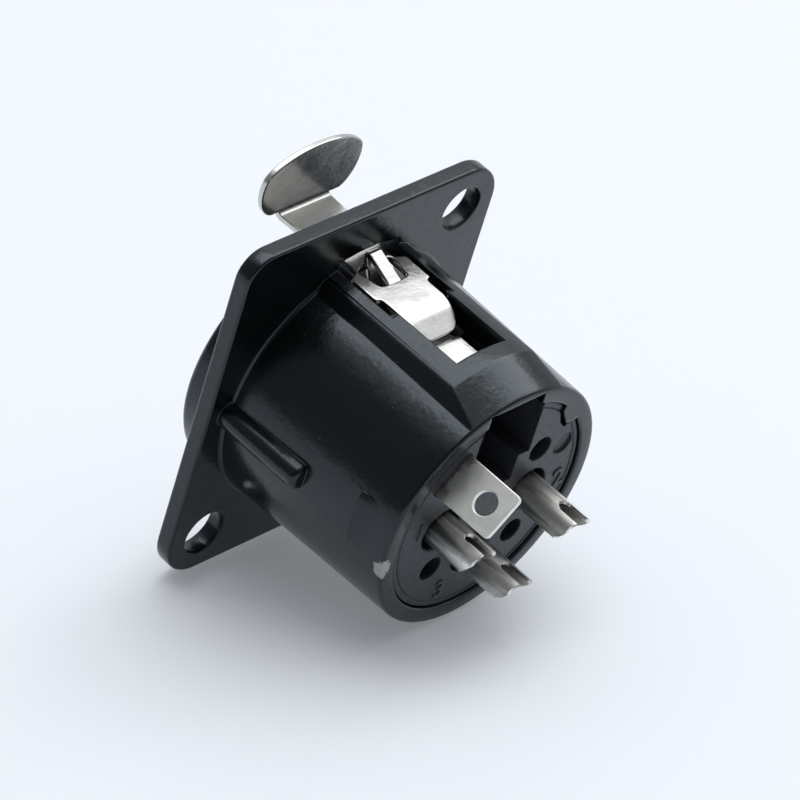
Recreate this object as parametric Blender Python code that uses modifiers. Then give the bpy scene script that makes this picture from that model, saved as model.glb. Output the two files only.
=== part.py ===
"""Three-contact latching audio socket on a D-size panel flange.

The connector's axis lies along Y and the mating side faces -Y. The origin is on that axis, in the plane of
the flange's rear face, which seats on the panel. Z is up, with the push latch on top.
"""

import math

import bmesh
import bpy
from mathutils import Matrix, Vector

mm = 0.001

# Fits and mesh fineness
CLEARANCE = 0.3 * mm
INSERT_FIT = 0.2 * mm
ROUND_STEPS = 96
INSERT_STEPS = 48
SMALL_STEPS = 24
CAVITY_STEPS = 16
VENT_STEPS = 12
ARC_STEPS = 5
OVERCUT = 1.0 * mm

# Flange, with two diagonal screw holes
FLANGE_WIDTH = 26.0 * mm
FLANGE_HEIGHT = 31.0 * mm
FLANGE_THICKNESS = 1.45 * mm
HOLE_CORNER_RADIUS = 3.5 * mm
PLAIN_CORNER_RADIUS = 2.2 * mm
FLANGE_EDGE = 0.2 * mm
SCREW_INSET = 3.5 * mm
SCREW_HOLE_RADIUS = 1.88 * mm

# Barrel behind the flange and ring in front of it
BARREL_LENGTH = 16.74 * mm
BARREL_RADIUS = 11.05 * mm
BARREL_TAPER = 0.4 * mm
BARREL_FILLET = 0.6 * mm
FILLET_SINK = 0.04 * mm
RIM_EDGE = 0.25 * mm
RING_RADIUS = 11.25 * mm
RING_PROUD = 2.75 * mm
RING_EDGE = 0.5 * mm
MOUTH_RADIUS = 9.65 * mm
MOUTH_CHAMFER = 0.5 * mm
REAR_BORE_RADIUS = 9.3 * mm
LEDGE_DEPTH = 11.6 * mm

# Latch housing cast on top of the barrel
HOUSING_RADIUS = 11.6 * mm
HOUSING_HALF_WIDTH = 4.3 * mm
HOUSING_FOOT_HALF_WIDTH = 4.98 * mm
HOUSING_FOOT_HEIGHT = 9.6 * mm
HOUSING_FLAT_END = 13.4 * mm
LIP_HALF_WIDTH = 2.7 * mm
HOUSING_EDGE = 0.3 * mm
SLOT_HALF_WIDTH = 3.2 * mm
SLOT_LENGTH = 5.9 * mm
SLOT_TOP = 12.2 * mm
WINDOW_HALF_WIDTH = 2.6 * mm
WINDOW_LENGTH = 12.0 * mm
WINDOW_FLOOR = 8.6 * mm
POCKET_HALF_WIDTH = 3.15 * mm
POCKET_ROOF = 10.05 * mm

# Panel key rib, snap tooth and insert key on the shell
RIB_ANGLE = math.radians(3.0)
RIB_RADIUS = 1.1 * mm
RIB_LENGTH = 8.1 * mm
TOOTH_MIDDLE = math.radians(4.0)
TOOTH_SPREAD = math.radians(26.0)
TOOTH_START = 12.9 * mm
TOOTH_LENGTH = 1.6 * mm
TOOTH_HEIGHT = 0.25 * mm
KEY_ANGLE = math.radians(137.0)
KEY_WIDTH = 1.0 * mm
KEY_DEPTH = 0.8 * mm
KEY_LENGTH = 1.4 * mm

# Insert that carries the contacts
NOSE_RADIUS = 7.9 * mm
NOSE_SETBACK = 0.5 * mm
NOSE_EDGE = 0.3 * mm
COLLAR_FRONT = 7.8 * mm
INSERT_RECESS = 0.24 * mm
KEYWAY_HALF_WIDTH = 0.9 * mm
KEYWAY_DEPTH = 1.0 * mm
PIN_SPACING = 8.98 * mm
PIN_ROW_DROP = 0.45 * mm
LOW_PIN_DROP = 4.6 * mm
PIN_ENTRY_RADIUS = 1.35 * mm
PIN_ENTRY_CHAMFER = 0.35 * mm
CAVITY_RADIUS = 1.88 * mm
FRONT_WALL = 1.1 * mm
VENT_RADIUS = 1.02 * mm
VENT_DEPTH = 3.0 * mm
UPPER_VENT = (4.42 * mm, 3.65 * mm)
LOWER_VENT = (4.25 * mm, -4.42 * mm)
MARK_PLACE = (-6.9 * mm, 3.1 * mm)
MARK_RADIUS = 0.9 * mm
MARK_DEPTH = 0.2 * mm
NOTCH_EXTRA = 0.3 * mm
POCKET_FLOOR = 4.0 * mm
POCKET_STEP_HALF_WIDTH = 2.0 * mm
POCKET_STEP_FLOOR = 1.7 * mm
POCKET_FRONT = 12.75 * mm
POCKET_STEP_SETBACK = 0.5 * mm
TAIL_CHANNEL_FLOOR = 8.3 * mm

# Contacts, each a slotted socket with a solder cup
SOCKET_RADIUS = 1.55 * mm
SOCKET_BORE = 1.2 * mm
SOCKET_BORE_DEPTH = 9.5 * mm
SOCKET_SLIT = 0.3 * mm
SOCKET_SLIT_DEPTH = 5.5 * mm
CONTACT_SHOULDER_RADIUS = 1.72 * mm
CONTACT_SHOULDER_START = 12.0 * mm
CONTACT_SHOULDER_LENGTH = 1.4 * mm
CUP_RADIUS = 1.4 * mm
CUP_WALL = 0.32 * mm
CUP_ENDS = {"contact_1": 20.95 * mm, "contact_2": 22.0 * mm, "contact_3": 21.7 * mm}
CUP_DEPTH = 4.6 * mm
CUP_OPENING = 1.55 * mm
CUP_SLANT = 1.1 * mm
CUP_SLANT_TURN = math.radians(45.0)
CUP_OPENING_TURN = math.radians(8.0)
CUP_OPENING_HALF_WIDTH = 0.85 * mm
WEEP_RADIUS = 0.45 * mm
WEEP_FROM_END = 1.75 * mm

# Ground contact, a flat strip with a tab behind and a bowed spring in front
GROUND_ANGLE = math.radians(45.0)
GROUND_RADIUS = 7.3 * mm
GROUND_THICKNESS = 0.5 * mm
GROUND_TAB_HALF_WIDTH = 1.93 * mm
GROUND_TAB_END = 21.8 * mm
GROUND_TAB_CORNER = 0.35 * mm
GROUND_HOLE_RADIUS = 0.95 * mm
GROUND_HOLE_FROM_END = 1.9 * mm
GROUND_ARM_HALF_WIDTH = 1.2 * mm
GROUND_ARM_FRONT = 0.2 * mm
GROUND_BOW = 0.7 * mm
GROUND_BOW_LENGTH = 6.0 * mm

# Latch lever, bent from one strip
SHEET = 0.5 * mm
LATCH_TOP = 11.05 * mm
TAB_PLANE = -7.0 * mm
TAB_HEIGHT = 16.65 * mm
TAB_HALF_WIDTH = 5.06 * mm
TAB_OVAL = (
    (0.524, -0.009),
    (0.723, 0.027),
    (0.870, 0.143),
    (0.962, 0.295),
    (1.0, 0.455),
    (0.998, 0.598),
    (0.939, 0.741),
    (0.741, 0.866),
    (0.415, 0.964),
    (0.0, 1.0),
)
NECK_HALF_WIDTH = 2.44 * mm
SLOT_NECK_HALF_WIDTH = 1.95 * mm
EAR_HALF_WIDTH = 2.95 * mm
EAR_START = 1.1 * mm
EAR_END = 3.9 * mm
BODY_HALF_WIDTH = 2.4 * mm
TAIL_BEND = 6.15 * mm
TAIL_END = 8.25 * mm
TAIL_DROP = 1.05 * mm
TAIL_HALF_WIDTH = 2.25 * mm
TAIL_TIP_HALF_WIDTH = 1.3 * mm
BEND_RADIUS = 0.7 * mm
HOOK_HOLE_HALF_WIDTH = 1.85 * mm
HOOK_HOLE_FRONT = 0.6 * mm
HOOK_HOLE_REAR = 3.1 * mm
HOOK_HALF_WIDTH = 0.7 * mm
HOOK_THICKNESS = 0.44 * mm
HOOK_RISE = 0.95 * mm
HOOK_FRONT = 1.15 * mm
HOOK_LEAN = math.radians(22.0)
HOOK_DEPTH = 8.95 * mm
HOOK_BEND_RADIUS = 0.35 * mm
PIVOT_Y = 5.2 * mm
PIVOT_Z = 10.0 * mm
PIVOT_RADIUS = 0.42 * mm
PIVOT_REACH = 0.45 * mm
CHEEK_LENGTH = 1.3 * mm

# Latch spring, a leaf under the lever's tail
LEAF_THICKNESS = 0.25 * mm
LEAF_HALF_WIDTH = 1.3 * mm
LEAF_TOP = 9.87 * mm
LEAF_BEND_RADIUS = 0.35 * mm
LEAF_STEP_START = 9.0 * mm
LEAF_STEP_END = 8.35 * mm
LEAF_TIP = 7.95 * mm
LEAF_TIP_HEIGHT = 9.02 * mm
LEAF_FOOT_DEPTH = 2.2 * mm

# Sizes that follow from those above
RIM_RADIUS = BARREL_RADIUS - BARREL_TAPER
RING_FACE = -FLANGE_THICKNESS - RING_PROUD
NOSE_FACE = RING_FACE + NOSE_SETBACK
INSERT_REAR = BARREL_LENGTH - INSERT_RECESS
COLLAR_RADIUS = MOUTH_RADIUS - INSERT_FIT
INSERT_REAR_RADIUS = REAR_BORE_RADIUS - INSERT_FIT
CAVITY_FRONT = NOSE_FACE + FRONT_WALL
PIN_PLACES = {
    "contact_1": (PIN_SPACING / 2, -PIN_ROW_DROP),
    "contact_2": (-PIN_SPACING / 2, -PIN_ROW_DROP),
    "contact_3": (0.0, -LOW_PIN_DROP),
}


def new_collection(name):
    collection = bpy.data.collections.new(name)
    bpy.context.scene.collection.children.link(collection)
    return collection


def add_object(name, data, collection):
    obj = bpy.data.objects.new(name, data)
    collection.objects.link(obj)
    if collection is cutters:
        obj.hide_render = True
        obj.display_type = "WIRE"
    return obj


def object_from_bmesh(name, shape, collection):
    bmesh.ops.recalc_face_normals(shape, faces=shape.faces)
    mesh = bpy.data.meshes.new(name)
    shape.to_mesh(mesh)
    shape.free()
    return add_object(name, mesh, collection)


def box(name, low, high, collection):
    """A block between two opposite corners."""
    shape = bmesh.new()
    bmesh.ops.create_cube(shape, size=1.0)
    size = Vector(high) - Vector(low)
    middle = (Vector(high) + Vector(low)) / 2
    bmesh.ops.scale(shape, vec=size, verts=shape.verts)
    bmesh.ops.translate(shape, vec=middle, verts=shape.verts)
    return object_from_bmesh(name, shape, collection)


def rod(name, start, end, radius, collection, end_radius=None, steps=SMALL_STEPS):
    """A cylinder, or a cone with end_radius, between two points."""
    line = Vector(end) - Vector(start)
    shape = bmesh.new()
    bmesh.ops.create_cone(
        shape,
        cap_ends=True,
        segments=steps,
        radius1=radius,
        radius2=radius if end_radius is None else end_radius,
        depth=line.length,
    )
    turn = line.to_track_quat("Z", "Y").to_matrix().to_4x4()
    middle = (Vector(start) + Vector(end)) / 2
    bmesh.ops.transform(shape, matrix=Matrix.Translation(middle) @ turn, verts=shape.verts)
    return object_from_bmesh(name, shape, collection)


def turned(name, profile, collection, steps=ROUND_STEPS, place=(0.0, 0.0)):
    """A solid turned about a line parallel to Y, from (radius, y) points that run from the rear end to the front."""
    mesh = bpy.data.meshes.new(name)
    points = [(radius, 0.0, y) for radius, y in profile]
    edges = [(i, i + 1) for i in range(len(points) - 1)]
    mesh.from_pydata(points, edges, [])
    obj = add_object(name, mesh, collection)
    # The screw turns about local Z, which this rotation lays along the connector's axis.
    obj.rotation_euler = (-math.pi / 2, 0.0, 0.0)
    obj.location = (place[0], 0.0, place[1])
    screw = obj.modifiers.new("Turn", "SCREW")
    screw.steps = steps
    screw.render_steps = steps
    screw.use_merge_vertices = True
    screw.merge_threshold = 0.00001
    return obj


def arc(centre, arc_radius, start, end, steps=ARC_STEPS):
    """Points on an arc, with its angles in degrees."""
    angles = [math.radians(start + (end - start) * i / steps) for i in range(steps + 1)]
    return [(centre[0] + arc_radius * math.cos(a), centre[1] + arc_radius * math.sin(a)) for a in angles]


def flat_plate(name, outlines, thickness, collection):
    """A plate in the local XY plane from a 2D curve. The second and later outlines are holes in it."""
    curve = bpy.data.curves.new(name, "CURVE")
    curve.dimensions = "2D"
    curve.fill_mode = "BOTH"
    curve.extrude = thickness / 2
    for outline in outlines:
        spline = curve.splines.new("POLY")
        spline.points.add(len(outline) - 1)
        for point, (x, y) in zip(spline.points, outline):
            point.co = (x, y, 0.0, 1.0)
        spline.use_cyclic_u = True
    guide = bpy.data.objects.new(name, curve)
    bpy.context.scene.collection.objects.link(guide)
    bpy.context.view_layer.update()
    graph = bpy.context.evaluated_depsgraph_get()
    mesh = bpy.data.meshes.new_from_object(guide.evaluated_get(graph))
    bpy.data.objects.remove(guide)
    bpy.data.curves.remove(curve)
    shape = bmesh.new()
    shape.from_mesh(mesh)
    bpy.data.meshes.remove(mesh)
    bmesh.ops.remove_doubles(shape, verts=shape.verts, dist=0.000001)
    if len(outlines) == 1:
        bmesh.ops.dissolve_limit(shape, angle_limit=math.radians(1.0), verts=shape.verts, edges=shape.edges)
    return object_from_bmesh(name, shape, collection)


def place_mesh(obj, matrix):
    """Moves an object's mesh, so that its origin stays where it is."""
    obj.data.transform(matrix)
    if matrix.determinant() < 0:
        obj.data.flip_normals()


def combine(obj, operation, *tools):
    for tool in tools:
        step = obj.modifiers.new(tool.name, "BOOLEAN")
        step.operation = operation
        step.solver = "EXACT"
        step.object = tool


def cut(obj, *tools):
    combine(obj, "DIFFERENCE", *tools)


def join(obj, *tools):
    combine(obj, "UNION", *tools)


def bevel(obj, width, segments=2):
    edge = obj.modifiers.new("Edge", "BEVEL")
    edge.width = width
    edge.segments = segments
    edge.limit_method = "ANGLE"
    edge.angle_limit = math.radians(50.0)
    edge.harden_normals = False


def smooth(obj, angle=35.0):
    """Shades an object smooth with sharp edges kept, once its modifiers have run."""
    step = obj.modifiers.get("Smooth") or obj.modifiers.new("Smooth", "NODES")
    group = bpy.data.node_groups.get("smooth_by_angle")
    if group is None:
        group = bpy.data.node_groups.new("smooth_by_angle", "GeometryNodeTree")
        group.interface.new_socket("Geometry", in_out="INPUT", socket_type="NodeSocketGeometry")
        group.interface.new_socket("Geometry", in_out="OUTPUT", socket_type="NodeSocketGeometry")
        source = group.nodes.new("NodeGroupInput")
        target = group.nodes.new("NodeGroupOutput")
        face = group.nodes.new("GeometryNodeSetShadeSmooth")
        edge = group.nodes.new("GeometryNodeSetShadeSmooth")
        edge.domain = "EDGE"
        fold = group.nodes.new("GeometryNodeInputMeshEdgeAngle")
        limit = group.nodes.new("FunctionNodeCompare")
        limit.operation = "LESS_EQUAL"
        limit.inputs[1].default_value = math.radians(angle)
        group.links.new(source.outputs[0], face.inputs[0])
        group.links.new(face.outputs[0], edge.inputs[0])
        group.links.new(fold.outputs["Unsigned Angle"], limit.inputs[0])
        group.links.new(limit.outputs[0], edge.inputs["Shade Smooth"])
        group.links.new(edge.outputs[0], target.inputs[0])
    step.node_group = group


def material(name, colour, roughness, metallic):
    finish = bpy.data.materials.new(name)
    finish.use_nodes = True
    finish.diffuse_color = (*colour, 1.0)
    shader = finish.node_tree.nodes["Principled BSDF"]
    shader.inputs["Base Color"].default_value = (*colour, 1.0)
    shader.inputs["Roughness"].default_value = roughness
    shader.inputs["Metallic"].default_value = metallic
    return finish


def finish_part(obj, finish):
    obj.data.materials.clear()
    obj.data.materials.append(finish)
    smooth(obj)


def polar(angle, radius, y):
    """The point at this angle and radius about the connector's axis."""
    return Vector((radius * math.cos(angle), y, radius * math.sin(angle)))


def radial_frame(angle):
    """Turns local X to the tangent, Y to the connector's axis and Z outward, at this angle about the axis."""
    outward = Vector((math.cos(angle), 0.0, math.sin(angle)))
    along = Vector((0.0, 1.0, 0.0))
    tangent = along.cross(outward)
    return Matrix((tangent, along, outward)).transposed().to_4x4()


def barrel_radius_at(y):
    return BARREL_RADIUS - BARREL_TAPER * y / BARREL_LENGTH


def screw_places():
    x, z = FLANGE_WIDTH / 2 - SCREW_INSET, FLANGE_HEIGHT / 2 - SCREW_INSET
    return ((-x, z), (x, -z))


# Shell
def flange():
    """The panel flange: tight corners where it is plain, rounder ones about the screw holes."""
    w, h = FLANGE_WIDTH / 2, FLANGE_HEIGHT / 2
    tight, wide = PLAIN_CORNER_RADIUS, HOLE_CORNER_RADIUS
    outline = arc((w - tight, h - tight), tight, 0, 90)
    outline += arc((-w + wide, h - wide), wide, 90, 180)
    outline += arc((-w + tight, -h + tight), tight, 180, 270)
    outline += arc((w - wide, -h + wide), wide, 270, 360)
    plate = flat_plate("flange_plate", [outline], FLANGE_THICKNESS, cutters)
    lay_flat = Matrix.Translation((0.0, -FLANGE_THICKNESS / 2, 0.0)) @ Matrix.Rotation(math.pi / 2, 4, "X")
    place_mesh(plate, lay_flat)
    bevel(plate, FLANGE_EDGE)
    return plate


def shell_blank_profile():
    """Outside of the ring and barrel, from the barrel's rear rim to the ring's face."""
    profile = [(0.0, BARREL_LENGTH)]
    rear_centre = (RIM_RADIUS - RIM_EDGE, BARREL_LENGTH - RIM_EDGE)
    profile += [point for point in arc(rear_centre, RIM_EDGE, 90, 0, 3)]
    fillet_centre = (BARREL_RADIUS + BARREL_FILLET, BARREL_FILLET - FILLET_SINK)
    profile += arc(fillet_centre, BARREL_FILLET, 180, 270, 3)
    profile.append((fillet_centre[0], -FLANGE_THICKNESS / 2))
    profile.append((RING_RADIUS, -FLANGE_THICKNESS / 2))
    ring_centre = (RING_RADIUS - RING_EDGE, RING_FACE + RING_EDGE)
    profile += arc(ring_centre, RING_EDGE, 0, -90, 3)
    profile.append((0.0, RING_FACE))
    return profile


def bore_profile():
    """The stepped bore: wide for the plug's sleeve, narrower behind the ledge that stops the insert."""
    rear = BARREL_LENGTH + OVERCUT
    front = RING_FACE - OVERCUT
    return [
        (0.0, rear),
        (REAR_BORE_RADIUS, rear),
        (REAR_BORE_RADIUS, LEDGE_DEPTH),
        (MOUTH_RADIUS, LEDGE_DEPTH),
        (MOUTH_RADIUS, RING_FACE + MOUTH_CHAMFER),
        (MOUTH_RADIUS + MOUTH_CHAMFER, RING_FACE),
        (MOUTH_RADIUS + MOUTH_CHAMFER, front),
        (0.0, front),
    ]


def housing_section(y, top_radius, half_width):
    """One cross-section of the latch housing, clockwise from its left foot: drafted side, crowned top."""
    foot = math.sqrt(barrel_radius_at(y) ** 2 - HOUSING_FOOT_HALF_WIDTH**2)
    root = MOUTH_RADIUS / 2
    lift = math.sqrt(top_radius**2 - half_width**2)
    side = Vector((HOUSING_FOOT_HALF_WIDTH - half_width, foot - lift)).normalized() * HOUSING_EDGE
    points = [(-HOUSING_FOOT_HALF_WIDTH, root), (-HOUSING_FOOT_HALF_WIDTH, foot)]
    points.append((-half_width - side.x, lift + side.y))
    inner = half_width - HOUSING_EDGE
    for i in range(9):
        x = -inner + 2 * inner * i / 8
        points.append((x, math.sqrt(top_radius**2 - x * x)))
    points.append((half_width + side.x, lift + side.y))
    points += [(HOUSING_FOOT_HALF_WIDTH, foot), (HOUSING_FOOT_HALF_WIDTH, root)]
    return [Vector((x, y, z)) for x, z in points]


def housing():
    """The latch housing: a crowned block that slopes down to a lip at the barrel's rear rim."""
    rear = BARREL_LENGTH - RIM_EDGE
    sections = [
        housing_section(-FLANGE_THICKNESS / 2, HOUSING_RADIUS, HOUSING_HALF_WIDTH),
        housing_section(HOUSING_FLAT_END, HOUSING_RADIUS, HOUSING_HALF_WIDTH),
        housing_section(rear, barrel_radius_at(rear), LIP_HALF_WIDTH),
    ]
    shape = bmesh.new()
    rings = [[shape.verts.new(point) for point in section] for section in sections]
    count = len(rings[0])
    for near, far in zip(rings, rings[1:]):
        for i in range(count):
            j = (i + 1) % count
            shape.faces.new((near[i], near[j], far[j], far[i]))
    shape.faces.new(rings[0])
    shape.faces.new(rings[-1])
    return object_from_bmesh("latch_housing", shape, cutters)


def key_rib():
    """A half-round rib beside the barrel that locates it in the panel's cut-out, with a rounded rear end."""
    radius = barrel_radius_at(RIB_LENGTH / 2)
    rib = rod(
        "key_rib",
        polar(RIB_ANGLE, radius, -FLANGE_THICKNESS / 2),
        polar(RIB_ANGLE, radius, RIB_LENGTH),
        RIB_RADIUS,
        cutters,
    )
    bevel(rib, RIB_RADIUS * 0.45, 3)
    return rib


def snap_tooth():
    """A low ramp on the barrel, with its step towards the flange."""
    steps = 8
    ramp_end = TOOTH_START + 2 * TOOTH_LENGTH
    shape = bmesh.new()
    rows = []
    for i in range(steps + 1):
        angle = TOOTH_MIDDLE + TOOTH_SPREAD * (i / steps - 0.5)
        ends = [
            (BARREL_RADIUS - 1.0 * mm, TOOTH_START),
            (barrel_radius_at(TOOTH_START) + TOOTH_HEIGHT, TOOTH_START),
            (barrel_radius_at(ramp_end) - TOOTH_HEIGHT, ramp_end),
            (BARREL_RADIUS - 1.0 * mm, ramp_end),
        ]
        rows.append([shape.verts.new(polar(angle, radius, y)) for radius, y in ends])
    for near, far in zip(rows, rows[1:]):
        for i in range(4):
            j = (i + 1) % 4
            shape.faces.new((near[i], near[j], far[j], far[i]))
    shape.faces.new(rows[0])
    shape.faces.new(rows[-1])
    return object_from_bmesh("snap_tooth", shape, cutters)


def insert_key():
    """A small key inside the rear rim that stops the insert from turning."""
    inner = REAR_BORE_RADIUS - KEY_DEPTH
    outer = (REAR_BORE_RADIUS + RIM_RADIUS) / 2
    rear = INSERT_REAR
    key = box(
        "insert_key",
        (-KEY_WIDTH / 2, rear - KEY_LENGTH, inner),
        (KEY_WIDTH / 2, rear, outer),
        cutters,
    )
    place_mesh(key, radial_frame(KEY_ANGLE))
    return key


def latch_cuts():
    """The slot that the lever's neck passes through, the window over its body and the pocket behind."""
    front = box(
        "latch_slot",
        (-SLOT_HALF_WIDTH, RING_FACE - OVERCUT, WINDOW_FLOOR),
        (SLOT_HALF_WIDTH, 0.0, SLOT_TOP),
        cutters,
    )
    wide = box(
        "ear_recess",
        (-SLOT_HALF_WIDTH, -CLEARANCE, WINDOW_FLOOR),
        (SLOT_HALF_WIDTH, SLOT_LENGTH, HOUSING_RADIUS + OVERCUT),
        cutters,
    )
    narrow = box(
        "latch_window",
        (-WINDOW_HALF_WIDTH, SLOT_LENGTH - CLEARANCE, WINDOW_FLOOR),
        (WINDOW_HALF_WIDTH, WINDOW_LENGTH, HOUSING_RADIUS + OVERCUT),
        cutters,
    )
    pocket = box(
        "rear_pocket",
        (-POCKET_HALF_WIDTH, WINDOW_LENGTH - CLEARANCE, WINDOW_FLOOR),
        (POCKET_HALF_WIDTH, BARREL_LENGTH + OVERCUT, POCKET_ROOF),
        cutters,
    )
    reach = SLOT_HALF_WIDTH + PIVOT_REACH + CLEARANCE
    pivot = rod(
        "pivot_hole",
        (-reach, PIVOT_Y, PIVOT_Z),
        (reach, PIVOT_Y, PIVOT_Z),
        PIVOT_RADIUS + CLEARANCE * 0.7,
        cutters,
    )
    return front, wide, narrow, pocket, pivot


def make_shell(finish):
    shell = turned("shell", shell_blank_profile(), parts)
    join(shell, flange(), housing(), key_rib(), snap_tooth())
    cut(shell, turned("shell_bore", bore_profile(), cutters))
    cut(shell, *latch_cuts())
    for number, (x, z) in enumerate(screw_places(), 1):
        cut(
            shell,
            rod(
                f"screw_hole_{number}",
                (x, -FLANGE_THICKNESS - OVERCUT, z),
                (x, OVERCUT, z),
                SCREW_HOLE_RADIUS,
                cutters,
                steps=32,
            ),
        )
    join(shell, insert_key())
    finish_part(shell, finish)
    return shell


# Insert
def insert_profile():
    """Nose, collar that stops on the shell's ledge, and rear disc, from the rear face to the nose's face."""
    collar_rear = LEDGE_DEPTH - CLEARANCE
    profile = [(0.0, INSERT_REAR), (INSERT_REAR_RADIUS, INSERT_REAR)]
    profile += [(INSERT_REAR_RADIUS, collar_rear), (COLLAR_RADIUS, collar_rear)]
    profile += [(COLLAR_RADIUS, COLLAR_FRONT), (NOSE_RADIUS, COLLAR_FRONT)]
    profile += arc((NOSE_RADIUS - NOSE_EDGE, NOSE_FACE + NOSE_EDGE), NOSE_EDGE, 0, -90, 3)
    profile.append((0.0, NOSE_FACE))
    return profile


def contact_cavities():
    """For each contact, a stepped hole with a chamfered entry for the pin."""
    tools = []
    for name, place in PIN_PLACES.items():
        profile = [
            (0.0, INSERT_REAR + OVERCUT),
            (CAVITY_RADIUS, INSERT_REAR + OVERCUT),
            (CAVITY_RADIUS, CAVITY_FRONT),
            (PIN_ENTRY_RADIUS, CAVITY_FRONT),
            (PIN_ENTRY_RADIUS, NOSE_FACE + PIN_ENTRY_CHAMFER),
            (PIN_ENTRY_RADIUS + PIN_ENTRY_CHAMFER, NOSE_FACE),
            (PIN_ENTRY_RADIUS + PIN_ENTRY_CHAMFER, NOSE_FACE - OVERCUT),
            (0.0, NOSE_FACE - OVERCUT),
        ]
        tools.append(turned(f"{name}_cavity", profile, cutters, CAVITY_STEPS, place))
    return tools


def insert_vents():
    """Blind round holes moulded into the rear face, and one shallow ejector mark."""
    places = [(-UPPER_VENT[0], UPPER_VENT[1]), LOWER_VENT, (-LOWER_VENT[0], LOWER_VENT[1])]
    tools = []
    for number, (x, z) in enumerate(places, 1):
        start, end = (x, INSERT_REAR - VENT_DEPTH, z), (x, INSERT_REAR + OVERCUT, z)
        tools.append(rod(f"vent_{number}", start, end, VENT_RADIUS, cutters, steps=VENT_STEPS))
    x, z = MARK_PLACE
    start, end = (x, INSERT_REAR - MARK_DEPTH, z), (x, INSERT_REAR + OVERCUT, z)
    tools.append(rod("ejector_mark", start, end, MARK_RADIUS, cutters, steps=VENT_STEPS))
    return tools


def insert_pockets():
    """The open pocket behind the latch, its stepped floor, the channel over the collar and the nose's keyway."""
    rear = INSERT_REAR + OVERCUT
    top = COLLAR_RADIUS + OVERCUT
    upper = box(
        "pocket_upper",
        (-POCKET_HALF_WIDTH, POCKET_FRONT, POCKET_FLOOR),
        (POCKET_HALF_WIDTH, rear, top),
        cutters,
    )
    lower = box(
        "pocket_lower",
        (-POCKET_STEP_HALF_WIDTH, POCKET_FRONT + POCKET_STEP_SETBACK, POCKET_STEP_FLOOR),
        (POCKET_STEP_HALF_WIDTH, rear, POCKET_FLOOR + CLEARANCE),
        cutters,
    )
    channel = box(
        "tail_channel",
        (-POCKET_HALF_WIDTH, COLLAR_FRONT - OVERCUT, TAIL_CHANNEL_FLOOR),
        (POCKET_HALF_WIDTH, POCKET_FRONT + CLEARANCE, top),
        cutters,
    )
    keyway = box(
        "keyway",
        (-KEYWAY_HALF_WIDTH, NOSE_FACE - OVERCUT, NOSE_RADIUS - KEYWAY_DEPTH),
        (KEYWAY_HALF_WIDTH, COLLAR_FRONT, top),
        cutters,
    )
    leg_slit = box(
        "spring_slit",
        (-LEAF_HALF_WIDTH - CLEARANCE, leaf_leg_y() - LEAF_THICKNESS / 2 - CLEARANCE, leaf_foot_z() - CLEARANCE),
        (LEAF_HALF_WIDTH + CLEARANCE, leaf_leg_y() + LEAF_THICKNESS / 2 + CLEARANCE, top),
        cutters,
    )
    return upper, lower, channel, keyway, leg_slit


def insert_notch():
    """The notch that the shell's key stands in."""
    rear = INSERT_REAR + OVERCUT
    notch = box(
        "key_notch",
        (-KEY_WIDTH / 2 - NOTCH_EXTRA, INSERT_REAR - KEY_LENGTH - CLEARANCE, REAR_BORE_RADIUS - KEY_DEPTH - NOTCH_EXTRA),
        (KEY_WIDTH / 2 + NOTCH_EXTRA, rear, REAR_BORE_RADIUS + OVERCUT),
        cutters,
    )
    place_mesh(notch, radial_frame(KEY_ANGLE))
    return notch


def ground_slits():
    """The slit that the ground contact's tab passes through, and the groove for its arm along the nose."""
    half = GROUND_THICKNESS / 2 + CLEARANCE
    slit = box(
        "ground_slit",
        (-GROUND_TAB_HALF_WIDTH - CLEARANCE, COLLAR_FRONT + CLEARANCE, GROUND_RADIUS - half),
        (GROUND_TAB_HALF_WIDTH + CLEARANCE, INSERT_REAR + OVERCUT, GROUND_RADIUS + half),
        cutters,
    )
    groove = box(
        "ground_groove",
        (-GROUND_ARM_HALF_WIDTH - CLEARANCE, GROUND_ARM_FRONT - CLEARANCE, GROUND_RADIUS - half),
        (GROUND_ARM_HALF_WIDTH + CLEARANCE, COLLAR_FRONT + 2 * CLEARANCE, MOUTH_RADIUS),
        cutters,
    )
    for tool in (slit, groove):
        place_mesh(tool, radial_frame(GROUND_ANGLE))
    return slit, groove


def make_insert(finish):
    insert = turned("contact_insert", insert_profile(), parts, INSERT_STEPS)
    cut(insert, *contact_cavities())
    cut(insert, *insert_vents())
    cut(insert, *insert_pockets())
    cut(insert, insert_notch())
    cut(insert, *ground_slits())
    finish_part(insert, finish)
    return insert


# Contacts
def contact_profile(end):
    """Solder cup, shoulder and front socket, from the cup's end to the socket's mouth."""
    shoulder_rear = CONTACT_SHOULDER_START + CONTACT_SHOULDER_LENGTH
    front = CAVITY_FRONT + CLEARANCE
    lead_in = SOCKET_BORE + 0.15 * mm
    return [
        (0.0, end - CUP_DEPTH),
        (CUP_RADIUS - CUP_WALL, end - CUP_DEPTH),
        (CUP_RADIUS - CUP_WALL, end),
        (CUP_RADIUS, end),
        (CUP_RADIUS, shoulder_rear),
        (CONTACT_SHOULDER_RADIUS, shoulder_rear - 0.2 * mm),
        (CONTACT_SHOULDER_RADIUS, CONTACT_SHOULDER_START),
        (SOCKET_RADIUS, CONTACT_SHOULDER_START - 0.2 * mm),
        (SOCKET_RADIUS, front),
        (lead_in, front),
        (SOCKET_BORE, front + 0.3 * mm),
        (SOCKET_BORE, front + SOCKET_BORE_DEPTH),
        (0.0, front + SOCKET_BORE_DEPTH),
    ]


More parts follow.
